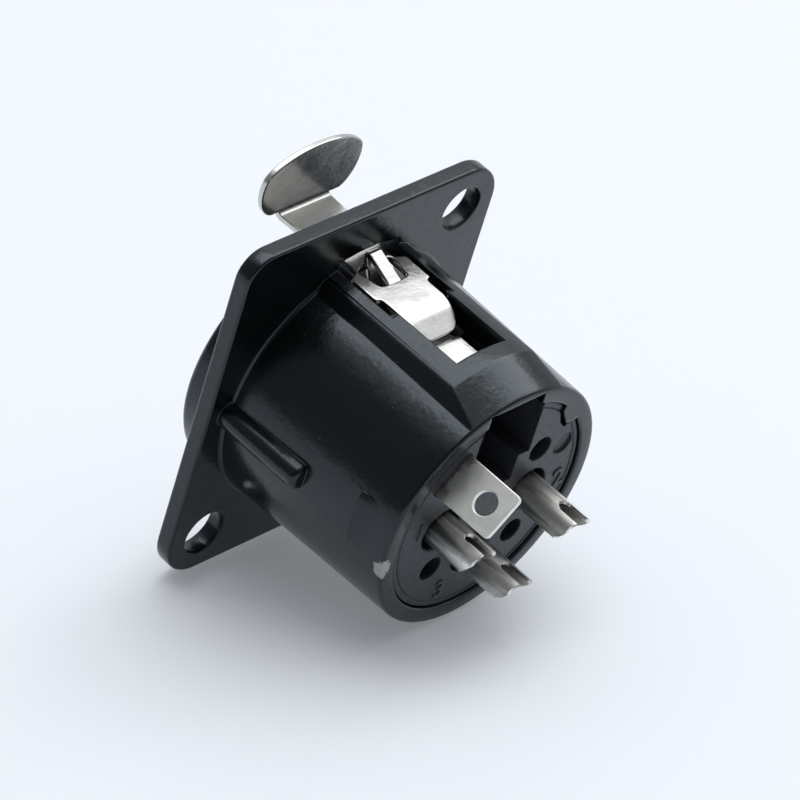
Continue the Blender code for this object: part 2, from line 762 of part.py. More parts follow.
def make_contact(name, place, end, finish):
    """A rolled contact: slit socket in front, solder cup with a weep hole and a slanted end behind."""
    contact = turned(name, contact_profile(end), parts, SMALL_STEPS, place)
    x, z = place
    front = CAVITY_FRONT + CLEARANCE
    wide = SOCKET_RADIUS + OVERCUT
    half = SOCKET_SLIT / 2
    slit_end = front + SOCKET_SLIT_DEPTH
    across = box(
        f"{name}_slit_across",
        (x - wide, front - OVERCUT, z - half),
        (x + wide, slit_end, z + half),
        cutters,
    )
    upright = box(
        f"{name}_slit_upright",
        (x - half, front - OVERCUT, z - wide),
        (x + half, slit_end, z + wide),
        cutters,
    )
    trough = box(
        f"{name}_trough",
        (-CUP_OPENING_HALF_WIDTH, 0.0, 0.2 * mm),
        (CUP_OPENING_HALF_WIDTH, CUP_OPENING + OVERCUT, CUP_RADIUS + OVERCUT),
        cutters,
    )
    turn_opening = Matrix.Rotation(-CUP_OPENING_TURN, 4, "Y")
    place_mesh(trough, Matrix.Translation((x, end - CUP_OPENING, z)) @ turn_opening)
    slant = box(
        f"{name}_slant",
        (-2 * CUP_RADIUS, 0.0, -2 * CUP_RADIUS),
        (2 * CUP_RADIUS, 2 * CUP_SLANT, 2 * CUP_RADIUS),
        cutters,
    )
    lean = math.atan2(CUP_SLANT, 2 * CUP_RADIUS)
    turn_slant = Matrix.Rotation(CUP_SLANT_TURN, 4, "Y") @ Matrix.Rotation(-lean, 4, "Z")
    place_mesh(slant, Matrix.Translation((x, end - CUP_SLANT / 2, z)) @ turn_slant)
    weep = rod(
        f"{name}_weep",
        (x, end - WEEP_FROM_END, z),
        (x, end - WEEP_FROM_END, z + CUP_RADIUS + OVERCUT),
        WEEP_RADIUS,
        cutters,
        steps=16,
    )
    cut(contact, across, upright, trough, slant, weep)
    finish_part(contact, finish)
    return contact


# Bent sheet parts
def sheet_path(corners, radius):
    """Straight lengths and bends of a sheet's middle line through (y, z) corners, as (length, turn) pairs.

    A heading of 0 points along -Y and one of 90 degrees along +Z.
    """
    sides = [Vector(far) - Vector(near) for near, far in zip(corners, corners[1:])]
    headings = [math.atan2(side.y, -side.x) for side in sides]
    turns = [after - before for before, after in zip(headings, headings[1:])]
    turns = [(turn + math.pi) % (2 * math.pi) - math.pi for turn in turns] + [0.0]
    path = []
    taken = 0.0
    for side, turn in zip(sides, turns):
        next_taken = radius * math.tan(abs(turn) / 2)
        path.append((side.length - taken - next_taken, turn))
        taken = next_taken
    return headings[0], path


def sheet_length(path, radius):
    return sum(length + abs(turn) * radius for length, turn in path)


def bent_point(point, corners, radius, heading, path):
    """Where a point of the flat plate goes: y runs along the path, z stands off it and x stays."""
    place = Vector((0.0, *corners[0]))
    left = point.y
    for number, (length, turn) in enumerate(path, 1):
        forward = Vector((0.0, -math.cos(heading), math.sin(heading)))
        if left <= length or number == len(path):
            place += forward * left
            break
        place += forward * length
        left -= length
        side = math.copysign(radius, turn)
        normal = Vector((0.0, math.sin(heading), math.cos(heading)))
        swept = min(left, abs(turn) * radius) / side
        heading += swept
        turned_normal = Vector((0.0, math.sin(heading), math.cos(heading)))
        place += (normal - turned_normal) * side
        left -= abs(swept) * radius
        if left <= 1e-9:
            break
    return place + Vector((point.x, math.sin(heading) * point.z, math.cos(heading) * point.z))


def bend_sheet(obj, corners, radius):
    """Bends a flat plate so that its middle follows the (y, z) corners. Its local y is the distance along them."""
    heading, path = sheet_path(corners, radius)
    marks = []
    distance = 0.0
    for length, turn in path[:-1]:
        distance += length
        arc_length = abs(turn) * radius
        steps = max(3, round(abs(math.degrees(turn)) / 13))
        marks += [distance + arc_length * i / steps for i in range(steps + 1)]
        distance += arc_length
    slice_plate(obj, marks)
    for vert in obj.data.vertices:
        vert.co = bent_point(vert.co, corners, radius, heading, path)
    # Heading 0 points along -Y, which mirrors the plate, so its faces are turned back.
    obj.data.flip_normals()


def slice_plate(obj, marks):
    """Adds edges across a plate at these y values, so that it can bend there."""
    shape = bmesh.new()
    shape.from_mesh(obj.data)
    for mark in marks:
        everything = shape.verts[:] + shape.edges[:] + shape.faces[:]
        bmesh.ops.bisect_plane(shape, geom=everything, dist=1e-7, plane_co=(0, mark, 0), plane_no=(0, 1, 0))
    shape.to_mesh(obj.data)
    shape.free()


def mirrored(right_side):
    """A closed outline from its right side, listed from one end of the middle line to the other."""
    return right_side + [(-x, y) for x, y in reversed(right_side) if x > 1e-9]


def lever_corners():
    """The lever's middle line from its tail: sloped tail, level body and upright tab."""
    middle = LATCH_TOP - SHEET / 2
    tab = TAB_PLANE - SHEET / 2
    return [(TAIL_END, middle - TAIL_DROP), (TAIL_BEND, middle), (tab, middle), (tab, TAB_HEIGHT)]


def along_lever(y):
    """The distance along the flat lever, from its tail, of a place on its level body."""
    path = sheet_path(lever_corners(), BEND_RADIUS)[1]
    length, turn = path[0]
    return length + abs(turn) * BEND_RADIUS + TAIL_BEND - BEND_RADIUS * math.tan(abs(turn) / 2) - y


def lever_outline():
    """The flat lever: rounded tail, body, ears, neck and the wide oval tab."""
    path = sheet_path(lever_corners(), BEND_RADIUS)[1]
    total = sheet_length(path, BEND_RADIUS)
    reach = TAIL_HALF_WIDTH - TAIL_TIP_HALF_WIDTH
    side = [(TAIL_TIP_HALF_WIDTH, 0.0)]
    side += arc((TAIL_TIP_HALF_WIDTH, reach), reach, -60, 0, 4)
    side += [(BODY_HALF_WIDTH, path[0][0]), (BODY_HALF_WIDTH, along_lever(EAR_END))]
    side += [(EAR_HALF_WIDTH, along_lever(EAR_END - 0.1 * mm))]
    side += [(EAR_HALF_WIDTH, along_lever(EAR_START + 0.2 * mm))]
    side += [(EAR_HALF_WIDTH - 0.2 * mm, along_lever(EAR_START))]
    side += [(SLOT_NECK_HALF_WIDTH, along_lever(EAR_START - 0.3 * mm))]
    side += [(SLOT_NECK_HALF_WIDTH, along_lever(-FLANGE_THICKNESS))]
    side += [(NECK_HALF_WIDTH, along_lever(-FLANGE_THICKNESS - 1.0 * mm))]
    side += [(x, total - (TAB_HEIGHT - z)) for x, z in tab_rim()]
    return mirrored(side)


def tab_rim():
    """One side of the tab's rim, from its neck to the middle of its top. The oval is in shares of its size."""
    rise = TAB_HEIGHT - LATCH_TOP
    points = [(NECK_HALF_WIDTH, LATCH_TOP - 0.1 * mm)]
    points += [(TAB_HALF_WIDTH * across, LATCH_TOP + rise * up) for across, up in TAB_OVAL]
    return rounded_line(points, 3)


def rounded_line(points, steps):
    """Points on a smooth line through the given ones, from the second of them to the last."""
    line = [Vector(point) for point in points]
    line.append(Vector((-line[-2].x, line[-2].y)))
    smooth_points = []
    for i in range(1, len(line) - 2):
        before, start, end, after = line[i - 1 : i + 3]
        for step in range(steps):
            t = step / steps
            point = 2 * start + (end - before) * t + (2 * before - 5 * start + 4 * end - after) * t * t
            point += (3 * start - before - 3 * end + after) * t**3
            smooth_points.append(tuple(point / 2))
    smooth_points.append(tuple(line[-2]))
    return smooth_points


def hook_hole():
    """The opening that the hook's tongue is cut out of."""
    corner = 0.4 * mm
    rear, front = along_lever(HOOK_HOLE_REAR), along_lever(HOOK_HOLE_FRONT)
    side = arc((HOOK_HOLE_HALF_WIDTH - corner, rear + corner), corner, -90, 0, 3)
    side += arc((HOOK_HOLE_HALF_WIDTH - corner, front - corner), corner, 0, 90, 3)
    return side + [(-x, y) for x, y in reversed(side)]


def make_tongue():
    """The tongue that rises out of the lever and turns down and back into the hook."""
    middle = LATCH_TOP - SHEET / 2
    lean = math.tan(HOOK_LEAN)
    apex_z = middle + HOOK_RISE
    corners = [
        (HOOK_HOLE_REAR + 0.6 * mm, middle),
        (HOOK_HOLE_REAR + 0.1 * mm, middle),
        (HOOK_FRONT - (apex_z - middle) * lean, apex_z),
        (HOOK_FRONT + (middle - HOOK_DEPTH) * lean, HOOK_DEPTH),
    ]
    total = sheet_length(sheet_path(corners, HOOK_BEND_RADIUS)[1], HOOK_BEND_RADIUS)
    outline = mirrored([(HOOK_HALF_WIDTH, 0.0), (HOOK_HALF_WIDTH, total)])
    tongue = flat_plate("hook_tongue", [outline], HOOK_THICKNESS, cutters)
    bend_sheet(tongue, corners, HOOK_BEND_RADIUS)
    return tongue


def make_cheeks():
    """The lever's two cheeks, bent down beside the pivot, each with its pivot lug."""
    tools = []
    for side in (-1, 1):
        inner, outer = sorted((side * (BODY_HALF_WIDTH - SHEET), side * (BODY_HALF_WIDTH - 0.02 * mm)))
        cheek = box(
            f"cheek_{'left' if side < 0 else 'right'}",
            (inner, PIVOT_Y - CHEEK_LENGTH / 2, PIVOT_Z - PIVOT_RADIUS - 0.1 * mm),
            (outer, PIVOT_Y + CHEEK_LENGTH / 2, LATCH_TOP - SHEET / 2),
            cutters,
        )
        lug = rod(
            f"lug_{'left' if side < 0 else 'right'}",
            (side * (BODY_HALF_WIDTH - SHEET / 2), PIVOT_Y, PIVOT_Z),
            (side * (SLOT_HALF_WIDTH + PIVOT_REACH), PIVOT_Y, PIVOT_Z),
            PIVOT_RADIUS,
            cutters,
            steps=16,
        )
        tools += [cheek, lug]
    return tools


def make_lever(finish):
    """The latch lever. Its origin is on the pivot line."""
    lever = flat_plate("latch_lever", [lever_outline(), hook_hole()], SHEET, parts)
    bend_sheet(lever, lever_corners(), BEND_RADIUS)
    pivot = Vector((0.0, PIVOT_Y, PIVOT_Z))
    place_mesh(lever, Matrix.Translation(-pivot))
    lever.location = pivot
    join(lever, make_tongue(), *make_cheeks())
    finish_part(lever, finish)
    return lever


def leaf_leg_y():
    """Where the leaf's leg stands, just behind the window's rear edge."""
    return WINDOW_LENGTH + CLEARANCE + LEAF_THICKNESS / 2


def leaf_foot_z():
    """How low the leaf's foot reaches into the insert."""
    return POCKET_FLOOR - LEAF_FOOT_DEPTH


def make_leaf(finish):
    """The latch spring: a leg held in the insert, a level leaf, and a tip set down under the lever's tail."""
    top = LEAF_TOP - LEAF_THICKNESS / 2
    corners = [
        (leaf_leg_y(), leaf_foot_z()),
        (leaf_leg_y(), top),
        (LEAF_STEP_START, top),
        (LEAF_STEP_END, LEAF_TIP_HEIGHT),
        (LEAF_TIP, LEAF_TIP_HEIGHT),
    ]
    total = sheet_length(sheet_path(corners, LEAF_BEND_RADIUS)[1], LEAF_BEND_RADIUS)
    outline = mirrored([(LEAF_HALF_WIDTH, 0.0), (LEAF_HALF_WIDTH, total)])
    leaf = flat_plate("latch_spring", [outline], LEAF_THICKNESS, parts)
    bend_sheet(leaf, corners, LEAF_BEND_RADIUS)
    finish_part(leaf, finish)
    return leaf


def make_ground_contact(finish):
    """The ground contact: a pierced tab behind, and an arm in front that bows out to the plug's sleeve."""
    corner = GROUND_TAB_CORNER
    neck = COLLAR_FRONT + 2 * CLEARANCE
    tab, arm = GROUND_TAB_HALF_WIDTH, GROUND_ARM_HALF_WIDTH
    side = arc((tab - corner, GROUND_TAB_END - corner), corner, 90, 0, 3)
    side += [(tab, neck), (arm, neck - 0.1 * mm), (arm, GROUND_ARM_FRONT)]
    hole = arc((0.0, GROUND_TAB_END - GROUND_HOLE_FROM_END), GROUND_HOLE_RADIUS, 0, 345, 23)
    strip = flat_plate("ground_contact", [mirrored(side), hole], GROUND_THICKNESS, parts)
    steps = 12
    slice_plate(strip, [GROUND_ARM_FRONT + GROUND_BOW_LENGTH * i / steps for i in range(1, steps + 1)])
    for vert in strip.data.vertices:
        share = (vert.co.y - GROUND_ARM_FRONT) / GROUND_BOW_LENGTH
        if share < 1:
            vert.co.z += GROUND_BOW * (1 - math.cos(2 * math.pi * share)) / 2
    place_mesh(strip, radial_frame(GROUND_ANGLE) @ Matrix.Translation((0.0, 0.0, GROUND_RADIUS)))
    finish_part(strip, finish)
    return strip


def clear_scene():
    for obj in list(bpy.data.objects):
        bpy.data.objects.remove(obj, do_unlink=True)


clear_scene()
parts = new_collection("xlr_panel_socket")
cutters = new_collection("cutters")

black_paint = material("black_paint", (0.012, 0.013, 0.014), 0.22, 0.0)
black_nylon = material("black_nylon", (0.02, 0.021, 0.023), 0.45, 0.0)
nickel_lever = material("nickel_lever", (0.80, 0.79, 0.75), 0.18, 1.0)
nickel_spring = material("nickel_spring", (0.83, 0.82, 0.79), 0.2, 1.0)
nickel_ground = material("nickel_ground", (0.76, 0.76, 0.72), 0.3, 1.0)
nickel_contact = material("nickel_contact", (0.70, 0.68, 0.63), 0.28, 1.0)

make_lever(nickel_lever)
make_leaf(nickel_spring)
make_ground_contact(nickel_ground)
make_shell(black_paint)
make_insert(black_nylon)
for contact_name, contact_place in PIN_PLACES.items():
    make_contact(contact_name, contact_place, CUP_ENDS[contact_name], nickel_contact)
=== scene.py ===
import math

import bmesh
import bpy
from mathutils import Matrix, Quaternion, Vector


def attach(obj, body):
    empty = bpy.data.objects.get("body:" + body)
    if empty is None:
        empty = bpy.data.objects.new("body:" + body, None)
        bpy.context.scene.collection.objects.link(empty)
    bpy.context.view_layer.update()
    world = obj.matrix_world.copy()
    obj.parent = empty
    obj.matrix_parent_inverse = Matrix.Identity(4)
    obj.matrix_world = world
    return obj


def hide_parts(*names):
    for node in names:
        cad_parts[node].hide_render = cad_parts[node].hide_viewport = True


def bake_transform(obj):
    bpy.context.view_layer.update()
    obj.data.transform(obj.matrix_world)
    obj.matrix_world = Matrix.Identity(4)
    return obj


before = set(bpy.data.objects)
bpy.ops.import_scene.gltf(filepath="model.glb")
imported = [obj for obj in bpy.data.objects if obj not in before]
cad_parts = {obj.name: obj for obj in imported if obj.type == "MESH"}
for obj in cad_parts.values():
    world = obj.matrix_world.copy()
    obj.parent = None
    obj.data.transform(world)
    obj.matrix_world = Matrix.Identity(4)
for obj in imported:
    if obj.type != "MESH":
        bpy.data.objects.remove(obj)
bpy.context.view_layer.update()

# ---- The table that the socket lies on ----
# A pale, faintly blue sheet of card. The socket lies on the lower edge of its flange and on the lowest point
# of the barrel's rear rim, so the card is tilted against the connector's own axes.
FLANGE_FOOT = Vector((0.0, -0.2, -15.5))
RIM_FOOT = Vector((0.0, 16.6, -10.66))
CARD_COLOUR = (0.845, 0.875, 0.925, 1.0)
SEEN_WHITE, SEEN_SHARE = (0.91, 0.945, 1.0, 1.0), 0.18

lie = RIM_FOOT - FLANGE_FOOT
table_up = Vector((0.0, -lie.z, lie.y)).normalized()


def node_tree_of(name):
    """A new material with its shader tree, and a helper that adds a node and sets its inputs."""
    surface = bpy.data.materials.new(name)
    surface.use_nodes = True
    tree = surface.node_tree

    def add(kind, inputs=None, **settings):
        node = tree.nodes.new(kind)
        for key, value in settings.items():
            setattr(node, key, value)
        for key, value in (inputs or {}).items():
            if isinstance(value, bpy.types.NodeSocket):
                tree.links.new(value, node.inputs[key])
            else:
                node.inputs[key].default_value = value
        return node

    return surface, tree, add


def card_surface():
    surface, tree, add = node_tree_of("table_card")
    shader = tree.nodes["Principled BSDF"]
    place = add("ShaderNodeTexCoord")
    grain = add("ShaderNodeTexNoise", {"Vector": place.outputs["Object"], "Scale": 900.0, "Detail": 4.0})
    cloud = add("ShaderNodeTexNoise", {"Vector": place.outputs["Object"], "Scale": 9.0, "Detail": 2.0})
    tone = add("ShaderNodeValToRGB", {"Fac": cloud.outputs["Fac"]})
    tone.color_ramp.elements[0].color = tuple(c * 0.985 for c in CARD_COLOUR[:3]) + (1.0,)
    tone.color_ramp.elements[1].color = CARD_COLOUR
    relief = add("ShaderNodeBump", {"Height": grain.outputs["Fac"], "Strength": 0.05, "Distance": 0.0001})
    tree.links.new(tone.outputs["Color"], shader.inputs["Base Color"])
    tree.links.new(relief.outputs["Normal"], shader.inputs["Normal"])
    shader.inputs["Roughness"].default_value = 0.6
    shader.inputs["Specular IOR Level"].default_value = 0.3
    # The background's white comes from the card, as the camera and the metal's reflections see it.
    path = add("ShaderNodeLightPath")
    rays = {0: path.outputs["Is Camera Ray"], 1: path.outputs["Is Glossy Ray"]}
    seen = add("ShaderNodeMath", rays, operation="MAXIMUM")
    share = add("ShaderNodeMath", {0: seen.outputs[0], 1: SEEN_SHARE}, operation="MULTIPLY")
    white = add("ShaderNodeEmission", {"Color": SEEN_WHITE, "Strength": 1.0})
    front = add("ShaderNodeMixShader", {0: share.outputs[0]})
    tree.links.new(shader.outputs[0], front.inputs[1])
    tree.links.new(white.outputs[0], front.inputs[2])
    # Seen from below, the card is clear, so that a low view still shows the socket.
    facing = add("ShaderNodeNewGeometry")
    clear = add("ShaderNodeBsdfTransparent")
    sides = add("ShaderNodeMixShader", {0: facing.outputs["Backfacing"]})
    tree.links.new(front.outputs[0], sides.inputs[1])
    tree.links.new(clear.outputs[0], sides.inputs[2])
    tree.links.new(sides.outputs[0], tree.nodes["Material Output"].inputs["Surface"])
    return surface


def lay_card():
    shape = bmesh.new()
    bmesh.ops.create_grid(shape, x_segments=8, y_segments=8, size=3.0)
    card_mesh = bpy.data.meshes.new("table_card")
    shape.to_mesh(card_mesh)
    shape.free()
    card = bpy.data.objects.new("table_card", card_mesh)
    bpy.context.scene.collection.objects.link(card)
    card.rotation_euler = (math.atan2(-table_up.y, table_up.z), 0.0, 0.0)
    card.location = FLANGE_FOOT * 0.001 - table_up * 0.0002
    card_mesh.materials.append(card_surface())


lay_card()

# ---- Shell ----
# One zinc die-casting: the flange that is screwed to the panel, the ring in front, the tapered barrel and the
# latch housing on top. Its gloss black paint rounds the edges and leaves a slight orange-peel skin.
FLANGE_WIDTH, FLANGE_HEIGHT, FLANGE_THICKNESS = 26.0, 31.0, 1.45
HOLE_CORNER, PLAIN_CORNER, FLANGE_EDGE = 3.5, 2.2, 0.22
SCREW_PLACES = ((-9.5, 12.0), (9.5, -12.0))
SCREW_HOLE = 1.88
BARREL_LENGTH, BARREL_RADIUS, BARREL_TAPER = 16.74, 11.05, 0.4
RING_RADIUS, RING_FACE, RING_EDGE = 11.25, -4.2, 0.55
MOUTH_RADIUS, REAR_BORE, LEDGE = 9.65, 9.3, 11.6
HOUSING_RADIUS, HOUSING_HALF, HOUSING_FOOT, HOUSING_FLAT_END = 11.6, 4.3, 4.98, 13.4
LIP_HALF, FILLET = 4.7, 0.3
SLOT_HALF, SLOT_END, SLOT_CROWN, SLOT_DRAFT = 3.2, 5.9, 12.11, 0.3
WINDOW_HALF, WINDOW_END, WINDOW_FLOOR = 2.6, 12.0, 8.6
POCKET_LEFT, POCKET_RIGHT, POCKET_ROOF = 3.15, -2.5, 10.05
RIB_RADIUS, RIB_END, RIB_ROUNDING, RIB_ANGLE = 1.1, 8.1, 0.5, 3.0
TOOTH_START, TOOTH_END, TOOTH_HEIGHT, TOOTH_ANGLE, TOOTH_SPREAD = 12.9, 14.5, 0.25, 4.0, 26.0
PIVOT = Vector((0.0, 5.2, 10.0))
PIVOT_HOLE, PIVOT_REACH = 0.63, 3.95
KEY_CORNERS = ((9.8, 126.5), (8.86, 129.0), (8.36, 139.5), (9.05, 143.5), (9.8, 143.5))
KEY_FRONT, KEY_REAR = 15.1, BARREL_LENGTH - 0.02


def barrel_radius_at(y):
    return BARREL_RADIUS - BARREL_TAPER * y / BARREL_LENGTH


def workpiece(name, shape):
    """A bmesh in millimetres as an object that can be cut and joined."""
    bmesh.ops.recalc_face_normals(shape, faces=shape.faces)
    mesh = bpy.data.meshes.new(name)
    shape.to_mesh(mesh)
    shape.free()
    piece = bpy.data.objects.new(name, mesh)
    bpy.context.scene.collection.objects.link(piece)
    return piece


def on_circle(radius, degrees):
    """The (x, z) point at this radius and angle round the connector, counted from +X towards +Z."""
    return radius * math.cos(math.radians(degrees)), radius * math.sin(math.radians(degrees))


def bend_points(centre, radius, start, end, steps):
    """Points along a rounding, with its angles in degrees."""
    turns = [math.radians(start + (end - start) * i / steps) for i in range(steps + 1)]
    return [(centre[0] + radius * math.cos(t), centre[1] + radius * math.sin(t)) for t in turns]


def lathe(name, outline, steps=192, place=(0.0, 0.0)):
    """A solid turned about a line along Y, from (radius, y) points with both ends on the axis."""
    shape = bmesh.new()
    rings = []
    for radius, y in outline:
        if radius < 1e-6:
            rings.append([shape.verts.new((place[0], y, place[1]))])
            continue
        ring = []
        for i in range(steps):
            turn = 2 * math.pi * i / steps
            x, z = place[0] + radius * math.cos(turn), place[1] + radius * math.sin(turn)
            ring.append(shape.verts.new((x, y, z)))
        rings.append(ring)
    for near, far in zip(rings, rings[1:]):
        for i in range(steps):
            j = (i + 1) % steps
            corners = [near[i % len(near)], near[j % len(near)], far[j % len(far)], far[i % len(far)]]
            unique = list(dict.fromkeys(corners))
            if len(unique) > 2:
                shape.faces.new(unique)
    return workpiece(name, shape)


def block(name, low, high, edge=0.0, steps=3):
    """A block between two corners, with its edges rounded by edge."""
    shape = bmesh.new()
    bmesh.ops.create_cube(shape, size=1.0)
    bmesh.ops.scale(shape, vec=Vector(high) - Vector(low), verts=shape.verts)
    bmesh.ops.translate(shape, vec=(Vector(high) + Vector(low)) / 2, verts=shape.verts)
    if edge:
        bmesh.ops.bevel(shape, geom=shape.edges[:], offset=edge, segments=steps, profile=0.5, affect="EDGES")
    return workpiece(name, shape)


def boolean(piece, tool, operation):
    """Cuts the tool from the piece, or joins it on, and takes the tool away."""
    step = piece.modifiers.new("step", "BOOLEAN")
    step.operation = operation
    step.solver = "EXACT"
    step.object = tool
    bpy.context.view_layer.update()
    made = bpy.data.meshes.new_from_object(piece.evaluated_get(bpy.context.evaluated_depsgraph_get()))
    piece.modifiers.clear()
    old = piece.data
    piece.data = made
    bpy.data.meshes.remove(old)
    bpy.data.objects.remove(tool)


def cut(piece, *tools):
    for tool in tools:
        boolean(piece, tool, "DIFFERENCE")


def cast_on(piece, *tools):
    for tool in tools:
        boolean(piece, tool, "UNION")


def turn_to(piece, degrees):
    """Turns a tool built at the top of the connector to this angle, counted from +X towards +Z."""
    piece.data.transform(Matrix.Rotation(math.radians(90.0 - degrees), 4, "Y"))


def finish_piece(piece, surface, body, sharp=32.0):
    """Scales a piece to metres, shades it, gives it its surface and lets it ride on its one body, if it has one."""
    shape = bmesh.new()
    shape.from_mesh(piece.data)
    bmesh.ops.remove_doubles(shape, verts=shape.verts, dist=0.0004)
    bmesh.ops.dissolve_degenerate(shape, edges=shape.edges, dist=0.0004)
    bmesh.ops.scale(shape, vec=(0.001, 0.001, 0.001), verts=shape.verts)
    shape.to_mesh(piece.data)
    shape.free()
    piece.data.shade_smooth()
    piece.data.set_sharp_from_angle(angle=math.radians(sharp))
    weigh = piece.modifiers.new("even_shading", "WEIGHTED_NORMAL")
    weigh.keep_sharp = True
    weigh.weight = 60
    piece.data.materials.clear()
    piece.data.materials.append(surface)
    if body:
        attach(piece, body)


def flange_plate():
    """The flange as a plate with rounded rims, corners rounder at the screw holes."""
    w, h = FLANGE_WIDTH / 2, FLANGE_HEIGHT / 2
    rim = bend_points((w - PLAIN_CORNER, h - PLAIN_CORNER), PLAIN_CORNER, 0, 90, 10)
    rim += bend_points((-w + HOLE_CORNER, h - HOLE_CORNER), HOLE_CORNER, 90, 180, 12)
    rim += bend_points((-w + PLAIN_CORNER, -h + PLAIN_CORNER), PLAIN_CORNER, 180, 270, 10)
    rim += bend_points((w - HOLE_CORNER, -h + HOLE_CORNER), HOLE_CORNER, 270, 360, 12)
    shape = bmesh.new()
    front = [shape.verts.new((x, -FLANGE_THICKNESS, z)) for x, z in rim]
    rear = [shape.verts.new((x, 0.0, z)) for x, z in rim]
    shape.faces.new(front)
    shape.faces.new(rear)
    for i in range(len(rim)):
        j = (i + 1) % len(rim)
        shape.faces.new((front[i], front[j], rear[j], rear[i]))
    bmesh.ops.recalc_face_normals(shape, faces=shape.faces)
    rims = [edge for edge in shape.edges if abs(edge.verts[0].co.y - edge.verts[1].co.y) < 1e-6]
    bmesh.ops.bevel(shape, geom=rims, offset=FLANGE_EDGE, segments=4, profile=0.5, affect="EDGES")
    return workpiece("flange_plate", shape)


def screw_hole_tool(x, z):
    """A drill for a screw hole, flared where the paint rounds the hole's two rims."""
    flare = 0.16
    outline = [(0.0, 1.0), (SCREW_HOLE + 0.9, 1.0), (SCREW_HOLE + 0.9, 0.001)]
    outline += bend_points((SCREW_HOLE + flare, -flare), flare, 90, 180, 4)
    outline += bend_points((SCREW_HOLE + flare, -FLANGE_THICKNESS + flare), flare, 180, 270, 4)
    outline += [(SCREW_HOLE + 0.9, -FLANGE_THICKNESS - 0.001), (SCREW_HOLE + 0.9, -3.0), (0.0, -3.0)]
    return lathe("screw_hole", outline, 64, (x, z))


def barrel_blank():
    """Ring, barrel and the fillet that runs into the flange."""
    rim = BARREL_RADIUS - BARREL_TAPER
    outline = [(0.0, BARREL_LENGTH)]
    outline += bend_points((rim - 0.3, BARREL_LENGTH - 0.3), 0.3, 90, 0, 6)
    outline += [(barrel_radius_at(y), y) for y in (15.0, 12.0, 9.0, 6.0, 3.0)]
    outline += bend_points((BARREL_RADIUS + FILLET, FILLET), FILLET, 180, 270, 7)[:-1]
    outline += [(BARREL_RADIUS + FILLET, -0.05), (BARREL_RADIUS + FILLET, -0.7), (RING_RADIUS, -0.7)]
    outline += bend_points((RING_RADIUS - RING_EDGE, RING_FACE + RING_EDGE), RING_EDGE, 0, -90, 8)
    outline.append((0.0, RING_FACE))
    return lathe("barrel_blank", outline, 256)


def bore_tool():
    """The stepped bore, with the rounded rims that the paint leaves at both mouths."""
    outline = [(0.0, 18.0), (REAR_BORE + 1.0, 18.0), (REAR_BORE + 1.0, BARREL_LENGTH + 0.001)]
    outline += bend_points((REAR_BORE + 0.2, BARREL_LENGTH - 0.2), 0.2, 90, 180, 4)
    outline += [(REAR_BORE, LEDGE), (MOUTH_RADIUS, LEDGE), (MOUTH_RADIUS, RING_FACE + 0.6)]
    outline += bend_points((MOUTH_RADIUS + 0.5, RING_FACE + 0.5), 0.5, 180, 270, 6)
    outline += [(MOUTH_RADIUS + 0.6, RING_FACE - 0.001), (MOUTH_RADIUS + 0.6, -6.0), (0.0, -6.0)]
    return lathe("bore", outline, 256)


def housing_section(y, top, half, rounding):
    """One section of the latch housing: drafted sides, rounded upper edges and a crowned top."""
    foot = math.sqrt(barrel_radius_at(y) ** 2 - HOUSING_FOOT**2)
    lift = math.sqrt(top**2 - half**2)
    side = Vector((HOUSING_FOOT - half, foot - lift)).normalized()
    crown = Vector((-lift, half)).normalized()
    right = []
    start = Vector((half, lift)) + side * rounding
    end = Vector((half, lift)) + crown * rounding
    for i in range(5):
        t = i / 4
        right.append(start * (1 - t) ** 2 + Vector((half, lift)) * 2 * t * (1 - t) + end * t * t)
    inner = end.x
    across = [inner * (1 - i / 8) for i in range(1, 9)]
    right += [Vector((x, math.sqrt(top**2 - x * x))) for x in across]
    right = [Vector((HOUSING_FOOT, 5.0)), Vector((HOUSING_FOOT, foot))] + right
    left = [Vector((-p.x, p.y)) for p in reversed(right) if p.x > 1e-6]
    return [Vector((p.x, y, p.y)) for p in right + left]


def latch_housing():
    """The crowned housing, with a flat facet that slopes down behind the window to the rim."""
    rear = BARREL_LENGTH - 0.28
    sections = [
        housing_section(-0.7, HOUSING_RADIUS, HOUSING_HALF, 0.3),
        housing_section(HOUSING_FLAT_END - 0.1, HOUSING_RADIUS, HOUSING_HALF, 0.3),
        housing_section(HOUSING_FLAT_END + 0.12, HOUSING_RADIUS - 0.04, HOUSING_HALF, 0.3),
        housing_section(rear, barrel_radius_at(rear), LIP_HALF, 0.25),
    ]
    shape = bmesh.new()
    rings = [[shape.verts.new(point) for point in section] for section in sections]
    for near, far in zip(rings, rings[1:]):
        for i in range(len(near)):
            j = (i + 1) % len(near)
            shape.faces.new((near[i], near[j], far[j], far[i]))
    shape.faces.new(rings[0])
    shape.faces.new(rings[-1])
    return workpiece("latch_housing", shape)


def panel_rib():
    """The half-round rib beside the barrel, with its rounded rear end."""
    outline = [(0.0, RIB_END)]
    outline += bend_points((RIB_RADIUS - RIB_ROUNDING, RIB_END - RIB_ROUNDING), RIB_ROUNDING, 90, 0, 5)
    outline += [(RIB_RADIUS, -0.7), (0.0, -0.7)]
    return lathe("panel_rib", outline, 48, on_circle(barrel_radius_at(RIB_END / 2 - 0.05), RIB_ANGLE))


